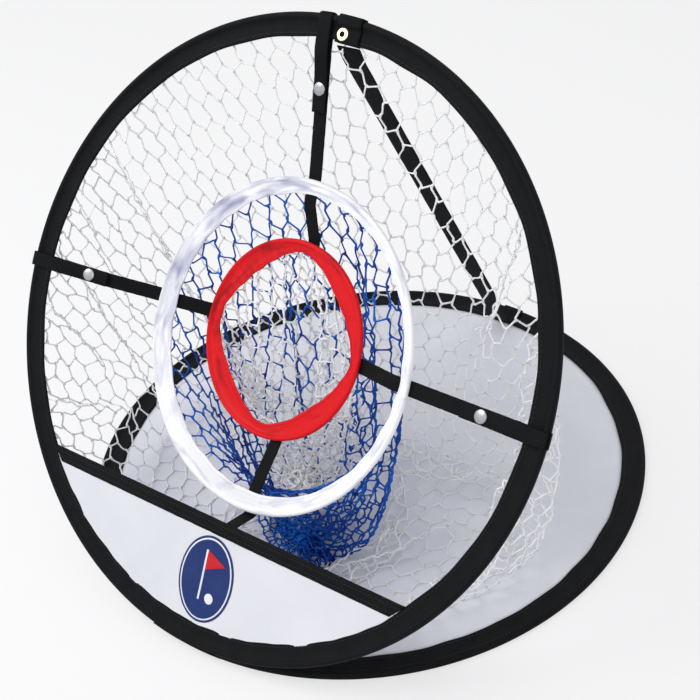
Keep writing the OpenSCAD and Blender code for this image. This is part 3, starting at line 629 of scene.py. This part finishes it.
for side, degrees in arm_dirs.items():
    turn = radians(degrees)
    across = across_arm(turn, in_front)
    white_s = edge_s(white_at[0], white_at[1], white_r, turn)
    red_s = edge_s(white_at[0] + red_at[0], white_at[1] + red_at[1], red_r, turn)
    level_s, end_s = white_s + 2 * MM, white_s - 7 * MM
    fall = math.atan2(back_w - ring_back(level_s, turn), sleeve_out_s - level_s)
    slope = min(steepest, fall)
    if side == "bottom":
        chord_s, start_w = front_v - panel_h, front_lift + 0.8 * MM
        route = [(chord_s + 7.5 * MM, start_w), (chord_s - 5 * MM, start_w)]
    else:
        route = [(wrap_s, bead_h - 1 * MM), (wrap_s, back_w), (sleeve_out_s, back_w)]
        route.append((knee_s, arm_depth(knee_s, slope)))
    route += [(s, ring_back(s, turn)) for s in (level_s, end_s)]
    points = in_direction(turn, route, in_front)
    arm = strap("arm_strap_" + side, points, across, arm_w, 30)
    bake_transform(arm)
    dress(arm, None, "black_webbing", "arm_" + side)

    red_w = red_at[2] - arm_behind
    route = [(end_s - 2 * MM, -arm_behind), (white_s - target_band - 2 * MM, -arm_behind)]
    route += [(red_s + 1 * MM, red_w), (red_s - 12 * MM, red_w)]
    points = in_direction(turn, route, in_arms)
    arm = strap("inner_arm_strap_" + side, points, across_arm(turn, in_ring), arm_w, 31)
    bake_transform(arm)
    dress(arm, None, "black_webbing", "inner_arm_" + side)

    if side != "bottom":
        over_arm = (snap_gap + strap_t) / cos(slope)
        route = [(hoop_r + seat_gap, bead_top_w), (bead_in_s, bead_top_w), (272 * MM, web_top_w)]
        landing_s = snap_s + 11.25 * MM
        route += [(s, arm_depth(s, slope) + over_arm) for s in (landing_s, flap_tip_s)]
        points = in_direction(turn, route, in_front)
        flap = strap("snap_flap_strap_" + side, points, across, arm_w, 32)
        dress(flap, "flap_body_" + side, "black_webbing", "flap_" + side)

# Rear strap: from the tab on the front hoop, taut down to the foot on the base hoop.
strap_w, strap_x = 26 * MM, 16 * MM
strap_dir = pi / 2 - math.asin(strap_x / front_in_r)
tab_s = front_in_r - 2 * MM
tab = [(tab_s, back_w), (wrap_s, back_w), (wrap_s, bead_top_w), (bead_in_s, bead_top_w)]
tab += [(web_in_s, web_top_w), (tab_s, web_top_w)]
points = in_direction(strap_dir, tab, in_front)
across = across_arm(strap_dir, in_front)
tab_strap = strap("strap_tab_webbing", points, across, strap_w, 33, 1 * MM, 1)
dress(tab_strap, "front", "black_webbing", "strap_tab")

foot_z, foot_top = web_h + 0.1 * MM + seated, bead_h + seated
foot_s = hoop_r - base_band + 1 * MM
foot = [(foot_s, foot_z), (web_in_s, foot_z), (bead_in_s, foot_top), (hoop_r - 1.5 * MM, foot_top)]
points = in_direction(strap_dir, foot, np.asarray)
across = across_arm(strap_dir, np.asarray)
foot_strap = strap("strap_foot_webbing", points, across, strap_w, 34, rounding=1)
dress(foot_strap, "base", "black_webbing", "strap_foot")

clear = strap_w / 2 * cos(strap_dir) + seated
head = in_front(np.array([[strap_x, tab_s * sin(strap_dir) - clear, back_w]]))[0]
foot_end = np.array([strap_x, foot_s * sin(strap_dir) - clear, foot_z])
drop = foot_end - head
route = [head, head + drop * (0, 0.02, 0.03), foot_end - drop * (0, 0.02, 0.01), foot_end]
rear = strap("rear_strap_webbing", route, (1, 0, 0), strap_w, 35, 4 * MM, 1)
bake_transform(rear)
dress(rear, None, "black_webbing", "rear_strap")

# Hinge tape: one strip stitched round the outer edges of both hoops, over the hinge line.
tape_turn = 80 * MM / hoop_r
tape_r = hoop_r + 0.35 * MM
turns = -pi / 2 + np.linspace(-tape_turn / 2, tape_turn / 2, 60)
line = np.stack([tape_r * np.cos(turns), tape_r * np.sin(turns), 0 * turns], axis=1)
rows = [line + (0, 0, z * MM) for z in (1.6, 3, 5, 6.8)]
rows += [in_front(line + (0, 0, w * MM)) for w in (0.6, 2.2, 4, 5.7)]
tape = grid_piece("hinge_tape", np.array(rows), False, False, binding_tape)
give_wall(tape, 0.5 * MM)
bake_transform(tape)
dress(tape, None, "black_webbing", "hinge_tape_base", "hinge_tape_front")


# ---- Front panel ----
# A white cloth across the bottom of the front hoop, bound along its top edge.

chord_v = panel_h - front_v
panel_w = front_lift + 2.6 * MM
panel_r = hoop_r - front_band + 2.2 * MM
front_fabric = cloth("front_panel_polyester", "#dcdde3", "#e8e9ed")


def panel_height(x, y):
    """The front panel's surface: soft slanting folds that die out at its edges."""
    calm = np.clip((panel_r - np.hypot(x, y)) / (25 * MM), 0, 1) * np.clip((chord_v - y) / (20 * MM), 0, 1)
    folds = np.sin(x * 34 + y * 22 + 1.4 * np.sin(y * 31)) * 0.9 + np.sin(x * 61 - y * 37 + 0.8) * 0.5
    return panel_w + MM * folds * calm


levels = -panel_r + (chord_v + panel_r) * np.linspace(0.0008, 1, 46)
across = np.linspace(-1, 1, 120)
x = across[:, None] * np.sqrt(panel_r**2 - levels[None] ** 2)
y = np.repeat(levels[None], len(across), axis=0)
points = in_front(np.stack([x, y, panel_height(x, y)], axis=2))
panel = grid_piece("front_panel_cloth", points, False, False, front_fabric)
give_wall(panel, 0.5 * MM)
dress(panel, "front", "white_cloth", "front_panel")

binding_w = 15 * MM
low, high = chord_v - binding_w / 2, chord_v + binding_w / 2
edge = 1.1 * MM
fold = [(edge * cos(t), edge * sin(t)) for t in np.radians([-90, -45, 0, 45, 90])]
crown = [(low + binding_w * k, edge * (1 + 0.15 * sin(pi * k))) for k in (0.3, 0.5, 0.7)]
section = [(low + edge - c, s) for c, s in fold] + crown
section += [(high - edge + c, s) for c, s in reversed(fold)]
section = np.array(section + [(low + binding_w * k, -edge) for k in (0.7, 0.3)])
along = np.linspace(-1, 1, 150)
reach = np.sqrt((front_in_r - 0.4 * MM) ** 2 - section[:, 0] ** 2)
ripple = 0.2 * MM * smooth_noise(51, (along + 1) / 3, (12, 50))
v = np.repeat(section[None, :, 0], len(along), axis=0)
w = panel_w + section[None, :, 1] + ripple[:, None]
points = np.stack([along[:, None] * reach[None], v, w], axis=2)
bound = grid_piece("panel_binding_tape", in_front(points), False, True, binding_tape)
add_caps(bound, len(along), len(section))
dress(bound, "front", "black_binding", "panel_binding")
panel_seams = [in_front(points[:, k] + (0, 0, seam_lift)) for k in (5, 7)]


# ---- Patch ----
# A small woven patch sewn to the front panel: an oval with a raised white border, and a pennant
# and a ball in plain embroidery.

patch_at = np.array([7 * MM, -238 * MM])
patch_half = np.array([33 * MM, 43 * MM])


def embroidery(name, colour, pitch=0.8 * MM):
    """Satin stitch: close raised threads side by side."""
    material, tree, spot = textured(name)
    rows = bands(tree, spot, "X", pitch, 0.8)
    surface(tree, linear(colour), 0.45, ((rows, "Fac"), 0.5, 0.0002), 0.25)
    return material


def patch_shape(name, outline, lift, height, material):
    """A low domed shape on the panel, filled from its outline to its middle."""
    outline = np.array(outline)
    middle = outline.mean(axis=0)
    shares = np.array([1.0, 1.0, 0.97, 0.6, 0.02])
    rises = np.array([0, 0.7, 1.0, 1.0, 1.0])
    flat = middle + (outline - middle)[:, None] * shares[None, :, None] + patch_at
    w = panel_height(flat[..., 0], flat[..., 1]) + lift + height * rises
    points = in_front(np.concatenate([flat, w[..., None]], axis=2))
    piece = grid_piece(name, points, True, False, material)
    close_loops(piece, [range(len(shares) - 1, points[..., 0].size, len(shares))], front_n)
    dress(piece, "front", "white_cloth")


def dense(corners, step=3 * MM):
    """A closed outline with points at most a step apart."""
    points = []
    for a, b in zip(corners, corners[1:] + corners[:1]):
        count = max(1, int(math.dist(a, b) / step))
        leg = (b[0] - a[0], b[1] - a[1])
        points += [(a[0] + leg[0] * k / count, a[1] + leg[1] * k / count) for k in range(count)]
    return points


oval_turns = np.linspace(0, 2 * pi, 72, endpoint=False)
oval = np.stack([np.cos(oval_turns), np.sin(oval_turns)], axis=1)
navy_stitch = embroidery("navy_embroidery", "#16306e")
white_stitch = embroidery("white_embroidery", "#f1f2f6")
red_stitch = embroidery("red_embroidery", "#cf1a22")
pole_x, pole_top = -5 * MM, 29 * MM
pole_right = pole_x + 2.2 * MM
pole = [(pole_x, -22 * MM), (pole_right, -22 * MM), (pole_right, pole_top), (pole_x, pole_top)]
pennant = [(pole_right, pole_top), (pole_right, 9 * MM), (pole_x + 25 * MM, 19 * MM)]
for name, outline, lift, height, stitch in (
    ("border", oval * patch_half, 0.3, 0.5, navy_stitch),
    ("white_line", oval * (patch_half - 2.2 * MM), 0.8, 0.25, white_stitch),
    ("field", oval * (patch_half - 3.8 * MM), 1.05, 0.25, navy_stitch),
    ("pole", dense(pole), 1.3, 0.3, white_stitch),
    ("pennant", dense(pennant), 1.3, 0.35, red_stitch),
    ("ball", oval * 5.2 * MM + (9 * MM, -17 * MM), 1.3, 0.6, white_stitch),
):
    patch_shape("patch_" + name, outline, lift * MM, height * MM, stitch)


# ---- Nets ----
# Knotted twine in six-sided cells, let down from the hoops by a small settling of their knots.
# Each strand is a separate thin tube that bends a little and thickens into its two knots.


def honeycomb(cols, rows, pitch, wrap):
    """Knots of a flat net, its strands in three directions, and the knots across from each other.
    A cell owns its top and upper left knot."""
    edge = pitch / math.sqrt(3)
    i, j = np.meshgrid(np.arange(cols), np.arange(rows), indexing="ij")
    odd = j % 2
    x, y = pitch * (i + odd / 2), -1.5 * edge * j
    top = np.stack([x, y + edge], axis=-1)
    left = np.stack([x - pitch / 2, y + edge / 2], axis=-1)
    knots = np.stack([top, left], axis=2).reshape(-1, 2)

    def joined(i2, j2, one, other):
        """Numbers of one knot of each cell and of another cell's other knot, where it exists."""
        good = (j2 < rows) & ((i2 >= 0) & (i2 < cols) | wrap)
        ends = ((i, j, one), (i2, j2, other))
        return tuple((2 * ((a % cols) * rows + b) + which)[good] for a, b, which in ends)

    pairs = [joined(i, j, 0, 1), joined(i + 1, j, 0, 1), joined(i + odd - 1, j + 1, 1, 0)]
    facing = []
    for i2, j2 in ((i + 1, j), (i + odd - 1, j + 1), (i + odd, j + 1)):
        both = [joined(i2, j2, k, k) for k in (0, 1)]
        facing.append([np.concatenate(side) for side in zip(*both)])
    return knots, pairs, facing, edge


def settle(knots, strands, facing, held, keep_out, steps, push):
    """Lets knots fall: a strand may go slack but hardly stretches, and held knots stay. The stiff
    knots keep their strands apart, so facing knots push back when they come close."""
    pull, damping, spread, passes = (0, 0, -0.00025), 0.97, 0.12, 5
    free = np.where(held, 0.0, 1.0)[:, None]
    links = [(*strand, 1, push, 1) for strand in strands] + [(*pair, 0, spread, 2) for pair in facing]
    before = knots.copy()
    for _ in range(steps):
        moved = (knots - before) * damping
        before = knots.copy()
        knots = knots + (moved + pull) * free
        for _ in range(passes):
            for a, b, length, taut, slack, least in links:
                gap = knots[b] - knots[a]
                span = norm(gap, axis=1, keepdims=True) + 1e-9
                over = span - length[:, None]
                give = over * np.where(over > 0, taut, slack) / span
                give /= np.maximum(free[a] + free[b], least)
                knots[a] += gap * give * free[a]
                knots[b] -= gap * give * free[b]
        kept = keep_out(knots)
        touched = norm(kept - knots, axis=1) > 1e-6
        knots = np.where(held[:, None], knots, kept)
        before[touched] = knots[touched]
    return knots


def line_tree(name, sizes, material):
    """A Geometry Nodes tree that takes poly lines as curves, and its inputs' identifiers."""
    tree = bpy.data.node_groups.new(name, "GeometryNodeTree")
    face = tree.interface
    face.new_socket("Geometry", in_out="INPUT", socket_type="NodeSocketGeometry")
    kinds = [(size, "NodeSocketFloat") for size in sizes] + [(material, "NodeSocketMaterial")]
    names = {}
    for key, kind in kinds:
        names[key] = face.new_socket(key, in_out="INPUT", socket_type=kind).identifier
    face.new_socket("Geometry", in_out="OUTPUT", socket_type="NodeSocketGeometry")
    start = add(tree, "NodeGroupInput")
    return tree, names, start, add(tree, "MeshToCurve", Mesh=(start, 0))


# Geometry Nodes: every poly line becomes a four-sided tube as thick as its points say.
knotted, knotted_inputs, start, lines = line_tree("knotted_cord", ["Cord radius"], "Twine")
thick = add(knotted, "InputNamedAttribute", {"data_type": "FLOAT"}, Name="thick")
radius = maths(knotted, "MULTIPLY", (thick, 0), (start, "Cord radius"))
ring = add(knotted, "CurvePrimitiveCircle", Resolution=4, Radius=1.0)
ends = {"Curve": (lines, 0), "Profile_Curve": (ring, 0), "Scale": (radius, 0)}
tubes = add(knotted, "CurveToMesh", **ends)
real = add(knotted, "RealizeInstances", i0=(tubes, 0))
smooth = add(knotted, "SetShadeSmooth", i0=(real, 0))
dressed = add(knotted, "SetMaterial", Geometry=(smooth, 0), Material=(start, "Twine"))
add(knotted, "NodeGroupOutput", i0=(dressed, 0))


def apply_tree(piece, tree, names, values):
    """Runs a Geometry Nodes tree on a piece and keeps the result as a plain mesh."""
    nodes = piece.modifiers.new("nodes", "NODES")
    nodes.node_group = tree
    for key, value in values.items():
        nodes[names[key]] = value
    keep_result(piece)


def line_object(name, lines, thick):
    """A mesh of poly lines, with each point's thickness as an attribute."""
    edges, total = [], 0
    for line in lines:
        edges += [(total + k, total + k + 1) for k in range(len(line) - 1)]
        total += len(line)
    mesh = bpy.data.meshes.new(name)
    mesh.from_pydata(np.concatenate(lines).tolist(), edges, [])
    mesh.attributes.new("thick", "FLOAT", "POINT").data.foreach_set("value", np.concatenate(thick))
    return new_object(name, mesh)


def net_piece(name, knots, strands, radius, material, seed, bend=0.07, wraps=()):
    """Draws a net's strands. A slack strand bows out, mostly downwards, and each bends to its knots."""
    rng = np.random.default_rng(seed)
    a, b, length = (np.concatenate([group[k] for group in strands]) for k in range(3))
    start, end = knots[a], knots[b]
    span = norm(end - start, axis=1)
    bow = np.sqrt(np.clip(3 * span * (length - span) / 8, 0, (0.35 * length) ** 2))
    line = (end - start) / (span[:, None] + 1e-9)
    ways = []
    for pull in ((0, 0, -1), (0, 0, 0)):
        way = rng.normal(size=(len(a), 3)) * 0.7 + pull
        way -= line * (way * line).sum(axis=1, keepdims=True)
        ways.append(way / (norm(way, axis=1, keepdims=True) + 1e-9))
    t = np.array((0, 0.18, 0.5, 0.82, 1))
    path = start[:, None] + (end - start)[:, None] * t[None, :, None]
    path += ways[0][:, None] * (bow[:, None] * 4 * t * (1 - t))[:, :, None]
    path += ways[1][:, None] * (bend * span[:, None] * np.sin(2 * pi * t))[:, :, None]
    thick = [(1.75, 1.1, 0.95, 1.1, 1.75)] * len(a) + [[1.1] * len(w) for w in wraps]
    piece = line_object(name, list(path) + list(wraps), thick)
    apply_tree(piece, knotted, knotted_inputs, {"Cord radius": radius, "Twine": material})
    return piece


def twine(name, dark, light, roughness, through):
    """Twisted twine: a fine slanting lay over a slowly changing colour. Some light passes through."""
    material, tree, spot = textured(name)
    lay = {"Vector": (spot, "Object"), "Scale": 320.0, "Distortion": 1.0}
    lay = add(tree, "TexWave", {"bands_direction": "DIAGONAL"}, **lay)
    fade = noise(tree, spot, 24.0, 2.0)
    tint = ramp(tree, (fade, "Fac"), (0.35, dark), (0.65, light))
    glow = {"Subsurface_Scale": 1.5 * MM, "Subsurface_Radius": [1, 1, 1]}
    relief = ((lay, "Fac"), 0.3, 0.0002)
    surface(tree, (tint, 0), roughness, relief, 0.2, Subsurface_Weight=through, **glow)
    return material


white_twine = twine("white_twine", "#f3f4f8", "#ffffff", 0.7, 0.5)
blue_twine = twine("blue_twine", "#0d358f", "#1268cc", 0.55, 0.0)
net_floor = floor_t + 1.2 * MM
seam_in, pocket_in = 2.5 * MM, 3.5 * MM


def tube_net(rim_centre, rim_at, gather, cols, rows, pitch, taper, uneven, seed, loose):
    """A pocket: a tube of cells from a ring's seam to a gathered mouth, let down to hang. It gets
    narrower downwards by taper, and its upper side is longer than its lower side by uneven."""
    rng = np.random.default_rng(seed)
    flat, pairs, facing, edge = honeycomb(cols, rows, pitch, True)
    turn = 2 * pi * flat[:, 0] / (cols * pitch)
    depth = (edge - flat[:, 1]) / (edge - flat[:, 1]).max()
    held = (depth < 1e-6) | (depth > 1 - 1e-6)
    out = np.stack([np.sin(turn), np.cos(turn), 0 * turn], axis=1)
    rim = in_ring(np.array(rim_centre) + out * rim_at(pi / 2 - turn)[:, None])
    mouth = np.array(gather) + out * 6 * MM
    t = depth[:, None]
    belly = rim * [0.72, 0.8, 0.3] + mouth * [0.28, 0.2, 0.7] + [0, 0, -0.02]
    knots = rim * (1 - t) ** 2 + 2 * belly * t * (1 - t) + mouth * t**2
    knots = knots + rng.normal(scale=loose, size=knots.shape) * (1 - held)[:, None]

    def size(a, b):
        """Size of the cells at two knots, as a share of the pitch."""
        by_side = uneven[0] + uneven[1] * (np.cos(turn[a]) + np.cos(turn[b])) / 2
        return (1 - taper * ((depth[a] + depth[b]) / 2) ** 1.3) * by_side

    def keep_out(p):
        """Above the floor cloth and behind the front hoop."""
        p = p.copy()
        p[:, 2] = np.maximum(p[:, 2], net_floor + 3 * MM)
        ahead = (p - front_centre) @ lean_out + 9 * MM
        return p - np.clip(ahead, 0, None)[:, None] * lean_out

    across = [(a, b, pitch * size(a, b)) for a, b in facing]
    strands = []
    for a, b in pairs:
        strands.append((a, b, edge * size(a, b) * (1 + rng.uniform(-0.08, 0.12, len(a)))))
    return settle(knots, strands, across, held, keep_out, 260, 0.1), strands


def tail_net(gather, tip, cols, rows, pitch, spread, seed):
    """The net's end past its tied mouth: a short skirt of cells, and three turns of cord at the neck."""
    rng = np.random.default_rng(seed)
    flat, pairs, _, edge = honeycomb(cols, rows, pitch, True)
    turn = 2 * pi * flat[:, 0] / (cols * pitch)
    t = ((edge - flat[:, 1]) / (edge - flat[:, 1]).max())[:, None]
    axis = np.array(tip) - np.array(gather)
    side = np.cross(axis, (0, 0, 1))
    side /= norm(side)
    rise = np.cross(side, axis / norm(axis))
    mouth_r, turns, wrap_r = 4.5 * MM, 3, 6.2 * MM
    r = mouth_r + (spread - mouth_r) * np.sin(t * pi * 0.62)
    out = side * (r * np.cos(turn)[:, None]) + rise * (r * 0.55 * np.sin(turn)[:, None])
    knots = np.array(gather) + axis * t + out
    knots += rng.normal(scale=1.2 * MM, size=knots.shape) * (t > 0.05)
    knots[:, 2] = np.maximum(knots[:, 2], net_floor)
    strands = [(a, b, norm(knots[a] - knots[b], axis=1) * 1.08) for a, b in pairs]
    spin = np.linspace(0, turns * 2 * pi, 54)[:, None]
    neck = np.array(gather) + axis * (0.1 + 0.1 * spin / spin.max())
    wrap = neck + wrap_r * (side * np.cos(spin) + rise * np.sin(spin))
    wrap[:, 2] = np.maximum(wrap[:, 2], net_floor)
    return knots, strands, wrap


def blue_rim(angle):
    """Where the blue pocket meets the white ring's sleeve."""
    return white_r - white_band(angle) + pocket_in


def white_rim(angle):
    """Where the white pocket meets the red ring's sleeve."""
    return red_r - red_band(angle) + pocket_in


def hang(piece, body, node, slot):
    """A net rides with a body, stands for a node, and gets a mesh of its own."""
    dress(piece, body, slot, node)
    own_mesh(piece)


blue_gather, blue_tip = (20 * MM, -146 * MM, 16 * MM), (60 * MM, -163 * MM, 8 * MM)
blue_knots, strands = tube_net(
    (0, 0, -3 * MM), blue_rim, blue_gather, 36, 17, 25 * MM, 0.36, (0.9, 0.27), 5, 3 * MM
)
piece = net_piece("blue_pocket_net", blue_knots, strands, 0.95 * MM, blue_twine, 6, 0.1)
hang(piece, "white_target", "blue_pocket", "blue_net")
knots, strands, wrap = tail_net(blue_gather, blue_tip, 14, 4, 12 * MM, 15 * MM, 12)
piece = net_piece("blue_pocket_tail_net", knots, strands, 0.95 * MM, blue_twine, 13, wraps=[wrap])
hang(piece, "white_target", "blue_pocket_tail", "blue_net")

white_gather, white_tip = (18 * MM, -128 * MM, 70 * MM), (30 * MM, -132 * MM, 56 * MM)
red_centre = (red_at[0], red_at[1], red_at[2] - 3 * MM)
knots, strands = tube_net(
    red_centre, white_rim, white_gather, 26, 15, 19 * MM, 0.3, (0.95, 0.15), 8, 7 * MM
)
piece = net_piece("white_pocket_net", knots, strands, 1.05 * MM, white_twine, 9, 0.16)
hang(piece, "red_target", "white_pocket", "white_net")
knots, strands, wrap = tail_net(white_gather, white_tip, 10, 3, 10 * MM, 9 * MM, 14)
piece = net_piece("white_pocket_tail_net", knots, strands, 0.95 * MM, white_twine, 15, wraps=[wrap])
hang(piece, "red_target", "white_pocket_tail", "white_net")

# The catching net is one sheet of netting, gathered into the front hoop's seam: hardly at the
# top, more and more towards the bottom, so that it hangs full over the floor cloth.
cell = 25 * MM
sheet_l = 860 * MM
seam_r = hoop_r - front_band + seam_in
seam_w = 1.5 * MM


def gather_in(flat):
    """From the flat sheet to the hoop's plane, drawn in at the seam."""
    y = seam_r - (seam_r - flat[:, 1]) * 2 * seam_r / sheet_l
    down = np.clip((seam_r - y) / (1.5 * seam_r), 0, 1)
    full = 1.05 + 0.7 * down * down * (3 - 2 * down)
    return np.stack([flat[:, 0] / full, y], axis=1)


cols, rows = int(sheet_l / cell) + 5, int(1.04 / (cell * 0.866)) + 4
flat, pairs, facing, edge = honeycomb(cols, rows, cell, False)
flat = flat[:, ::-1] + (1.5 * edge * rows / 2, seam_r + 2 * cell - cols * cell)
drawn = gather_in(flat)
far = norm(drawn, axis=1)
inside = far < seam_r
rng = np.random.default_rng(21)
knots, strands, total = [drawn], [], len(flat)
for a, b in pairs:
    both_in = inside[a] & inside[b]
    cut = inside[a] ^ inside[b]
    near, away = np.where(inside[a], a, b)[cut], np.where(inside[a], b, a)[cut]
    share = (seam_r - far[near]) / (far[away] - far[near])
    rim = drawn[near] + (drawn[away] - drawn[near]) * share[:, None]
    rim *= seam_r / norm(rim, axis=1, keepdims=True)
    starts = np.concatenate([a[both_in], near])
    stops = np.concatenate([b[both_in], total + np.arange(len(rim))])
    knots.append(rim)
    total += len(rim)
    length = np.concatenate([np.full(both_in.sum(), edge), np.maximum(share * edge, 3 * MM)])
    strands.append((starts, stops, length * (1 + rng.uniform(-0.05, 0.05, len(length)))))
drawn = np.concatenate(knots)
used = np.unique(np.concatenate([np.concatenate(group[:2]) for group in strands]))
renumber = np.full(len(drawn), -1)
renumber[used] = np.arange(len(used))
strands = [(renumber[a], renumber[b], length) for a, b, length in strands]
across = []
for a, b in facing:
    both_in = inside[a] & inside[b]
    across.append((renumber[a[both_in]], renumber[b[both_in]], np.full(both_in.sum(), cell)))
drawn = drawn[used]
far = norm(drawn, axis=1)
held = far > seam_r - 1e-6
sag = 230 * MM * np.clip(1 - (far / seam_r) ** 2, 0, 1)
knots = in_front(np.stack([drawn[:, 0], drawn[:, 1], seam_w - sag], axis=1))
knots = knots + rng.normal(scale=2 * MM, size=knots.shape) * (1 - held)[:, None]

# How far the blue pocket reaches out from its middle, in slices of its height and by direction.
slice_h, sectors = 15, 24
slice_low = np.arange(0, 360, slice_h) * MM
sector = pi / 12
slice_middle = np.zeros((len(slice_low), 2))
slice_reach = np.zeros((len(slice_low), sectors))
for level, low in enumerate(slice_low):
    ring = blue_knots[(blue_knots[:, 2] >= low - 5 * MM) & (blue_knots[:, 2] < low + 20 * MM)]
    if len(ring) == 0:
        continue
    slice_middle[level] = ring[:, :2].mean(axis=0)
    off = ring[:, :2] - slice_middle[level]
    turn = np.arctan2(off[:, 1], off[:, 0])
    for k in range(sectors):
        aside = turn - (k - 11.5) * pi / 12
        near = np.abs((aside + pi) % (2 * pi) - pi) < 0.3
        slice_reach[level, k] = norm(off[near], axis=1).max() if near.any() else 0
slice_reach[0] = 0


def catch_keep_out(p):
    """Above the floor cloth and the base hoop, straight behind the front hoop, round the pocket."""
    p = p.copy()
    up = (p - front_centre) @ lean_up
    over = np.clip(np.hypot(p[:, 0], up) - seam_r - 3 * MM, 0, None) / np.hypot(p[:, 0], up)
    p[:, 0] -= over * p[:, 0]
    p -= (over * up)[:, None] * lean_up
    level = np.clip((p[:, 2] / (slice_h * MM)).astype(int), 0, len(slice_reach) - 1)
    off = p[:, :2] - slice_middle[level]
    r = norm(off, axis=1) + 1e-9
    which = ((np.arctan2(off[:, 1], off[:, 0]) + pi) / sector).astype(int)
    reach = slice_reach[level, np.clip(which, 0, sectors - 1)] + 3 * MM
    inside = (r < reach) & (reach > 4 * MM) & (p[:, 2] < 350 * MM)
    p[inside, :2] = slice_middle[level[inside]] + off[inside] * (reach / r)[inside, None]
    out = np.hypot(p[:, 0], p[:, 1])
    zones = [out < hoop_r - base_band, out < hoop_r - 9 * MM, out < hoop_r + 1 * MM]
    ground = np.select(zones, [floor_t, web_t + 1 * MM, bead_h], 0)
    p[:, 2] = np.maximum(p[:, 2], ground + 1.2 * MM)
    ahead = (p - front_centre) @ lean_out + 3 * MM
    p -= np.clip(ahead, 0, None)[:, None] * lean_out
    return p


knots = settle(knots, strands, across, held, catch_keep_out, 420, 0.12)
piece = net_piece("catch_net_twine", knots, strands, 0.88 * MM, white_twine, 22, 0.09)
hang(piece, "front", "catch_net", "white_net")


# ---- Stitching ----
# Lock stitches in matching thread along the folded edges of the sleeves and the panel's binding.

# Geometry Nodes: a row of short stitches along every poly line.
stitch_sizes = {"Pitch": 4.2 * MM, "Length": 2.9 * MM, "Thread radius": 0.32 * MM}
stitched, stitched_inputs, start, lines = line_tree("lock_stitch", stitch_sizes, "Thread")
every = {"Curve": (lines, 0), "Length": (start, "Pitch")}
spots = add(stitched, "CurveToPoints", {"mode": "LENGTH"}, **every)
sizes = {"Vertices": 6, "Radius": (start, "Thread radius"), "Depth": (start, "Length")}
one = add(stitched, "MeshCylinder", {"fill_type": "TRIANGLE_FAN"}, **sizes)
ends = {"Points": (spots, "Points"), "Instance": (one, "Mesh"), "Rotation": (spots, "Rotation")}
row = add(stitched, "InstanceOnPoints", **ends)
real = add(stitched, "RealizeInstances", i0=(row, 0))
dressed = add(stitched, "SetMaterial", Geometry=(real, 0), Material=(start, "Thread"))
add(stitched, "NodeGroupOutput", i0=(dressed, 0))


def thread(name, colour):
    """Bonded polyester thread: a tight twist and a low sheen."""
    material, tree, spot = textured(name)
    twist = {"Vector": (spot, "Object"), "Scale": 700.0}
    ply = add(tree, "TexWave", {"bands_direction": "DIAGONAL"}, **twist)
    surface(tree, linear(colour), 0.5, ((ply, "Fac"), 0.3, 0.0001), 0.25)
    return material


def stitch_rows(name, rows, body, slot, material):
    """Rows of stitches that ride with a body, each row a line that lies on its cloth."""
    piece = line_object(name, rows, [[1.0] * len(row) for row in rows])
    apply_tree(piece, stitched, stitched_inputs, {**stitch_sizes, "Thread": material})
    dress(piece, body, slot)


black_thread = thread("black_thread", "#1d1e21")
white_thread = thread("white_thread", "#e9eaf0")
red_thread = thread("red_thread", "#b5121a")
stitch_rows("base_stitches", [base_seam], "base", "black_binding", black_thread)
stitch_rows("front_stitches", [front_seam] + panel_seams, "front", "black_binding", black_thread)
stitch_rows("white_ring_stitches", [white_seam], "white_target", "white_ring_cloth", white_thread)
stitch_rows("red_ring_stitches", [red_seam], "red_target", "red_ring_cloth", red_thread)


# ---- Snaps, eyelet and wires ----
# Nickel snap parts, a pale brass eyelet, and the spring wires inside the sleeves.


def metal(name, colour, roughness, scratch):
    """Plated metal with a fine brushed grain and a few dull spots."""
    material, tree, spot = textured(name)
    grain = noise(tree, spot, 900.0, 2.0)
    dull = noise(tree, spot, 140.0, 2.0)
    limits = {"To_Min": roughness - 0.06, "To_Max": roughness + 0.14}
    rough = add(tree, "MapRange", Value=(dull, "Fac"), **limits)
    surface(tree, linear(colour), (rough, 0), ((grain, "Fac"), scratch, 0.00005), Metallic=1.0)
    return material


metals = {
    ("snap_", ""): metal("nickel_plate", "#a9abaf", 0.3, 0.3),
    ("eyelet", ""): metal("pale_brass", "#e3d5a4", 0.24, 0.2),
    ("", "_wire"): metal("spring_wire", "#5d6066", 0.35, 0.3),
    ("", "_ferrule"): metal("crimp_tube", "#9da0a6", 0.32, 0.3),
}
for name, node in frame["nodes"].items():
    for (first, last), plating in metals.items():
        if name.startswith(first) and name.endswith(last):
            for slot_in_use in node.material_slots:
                slot_in_use.material = plating
            break
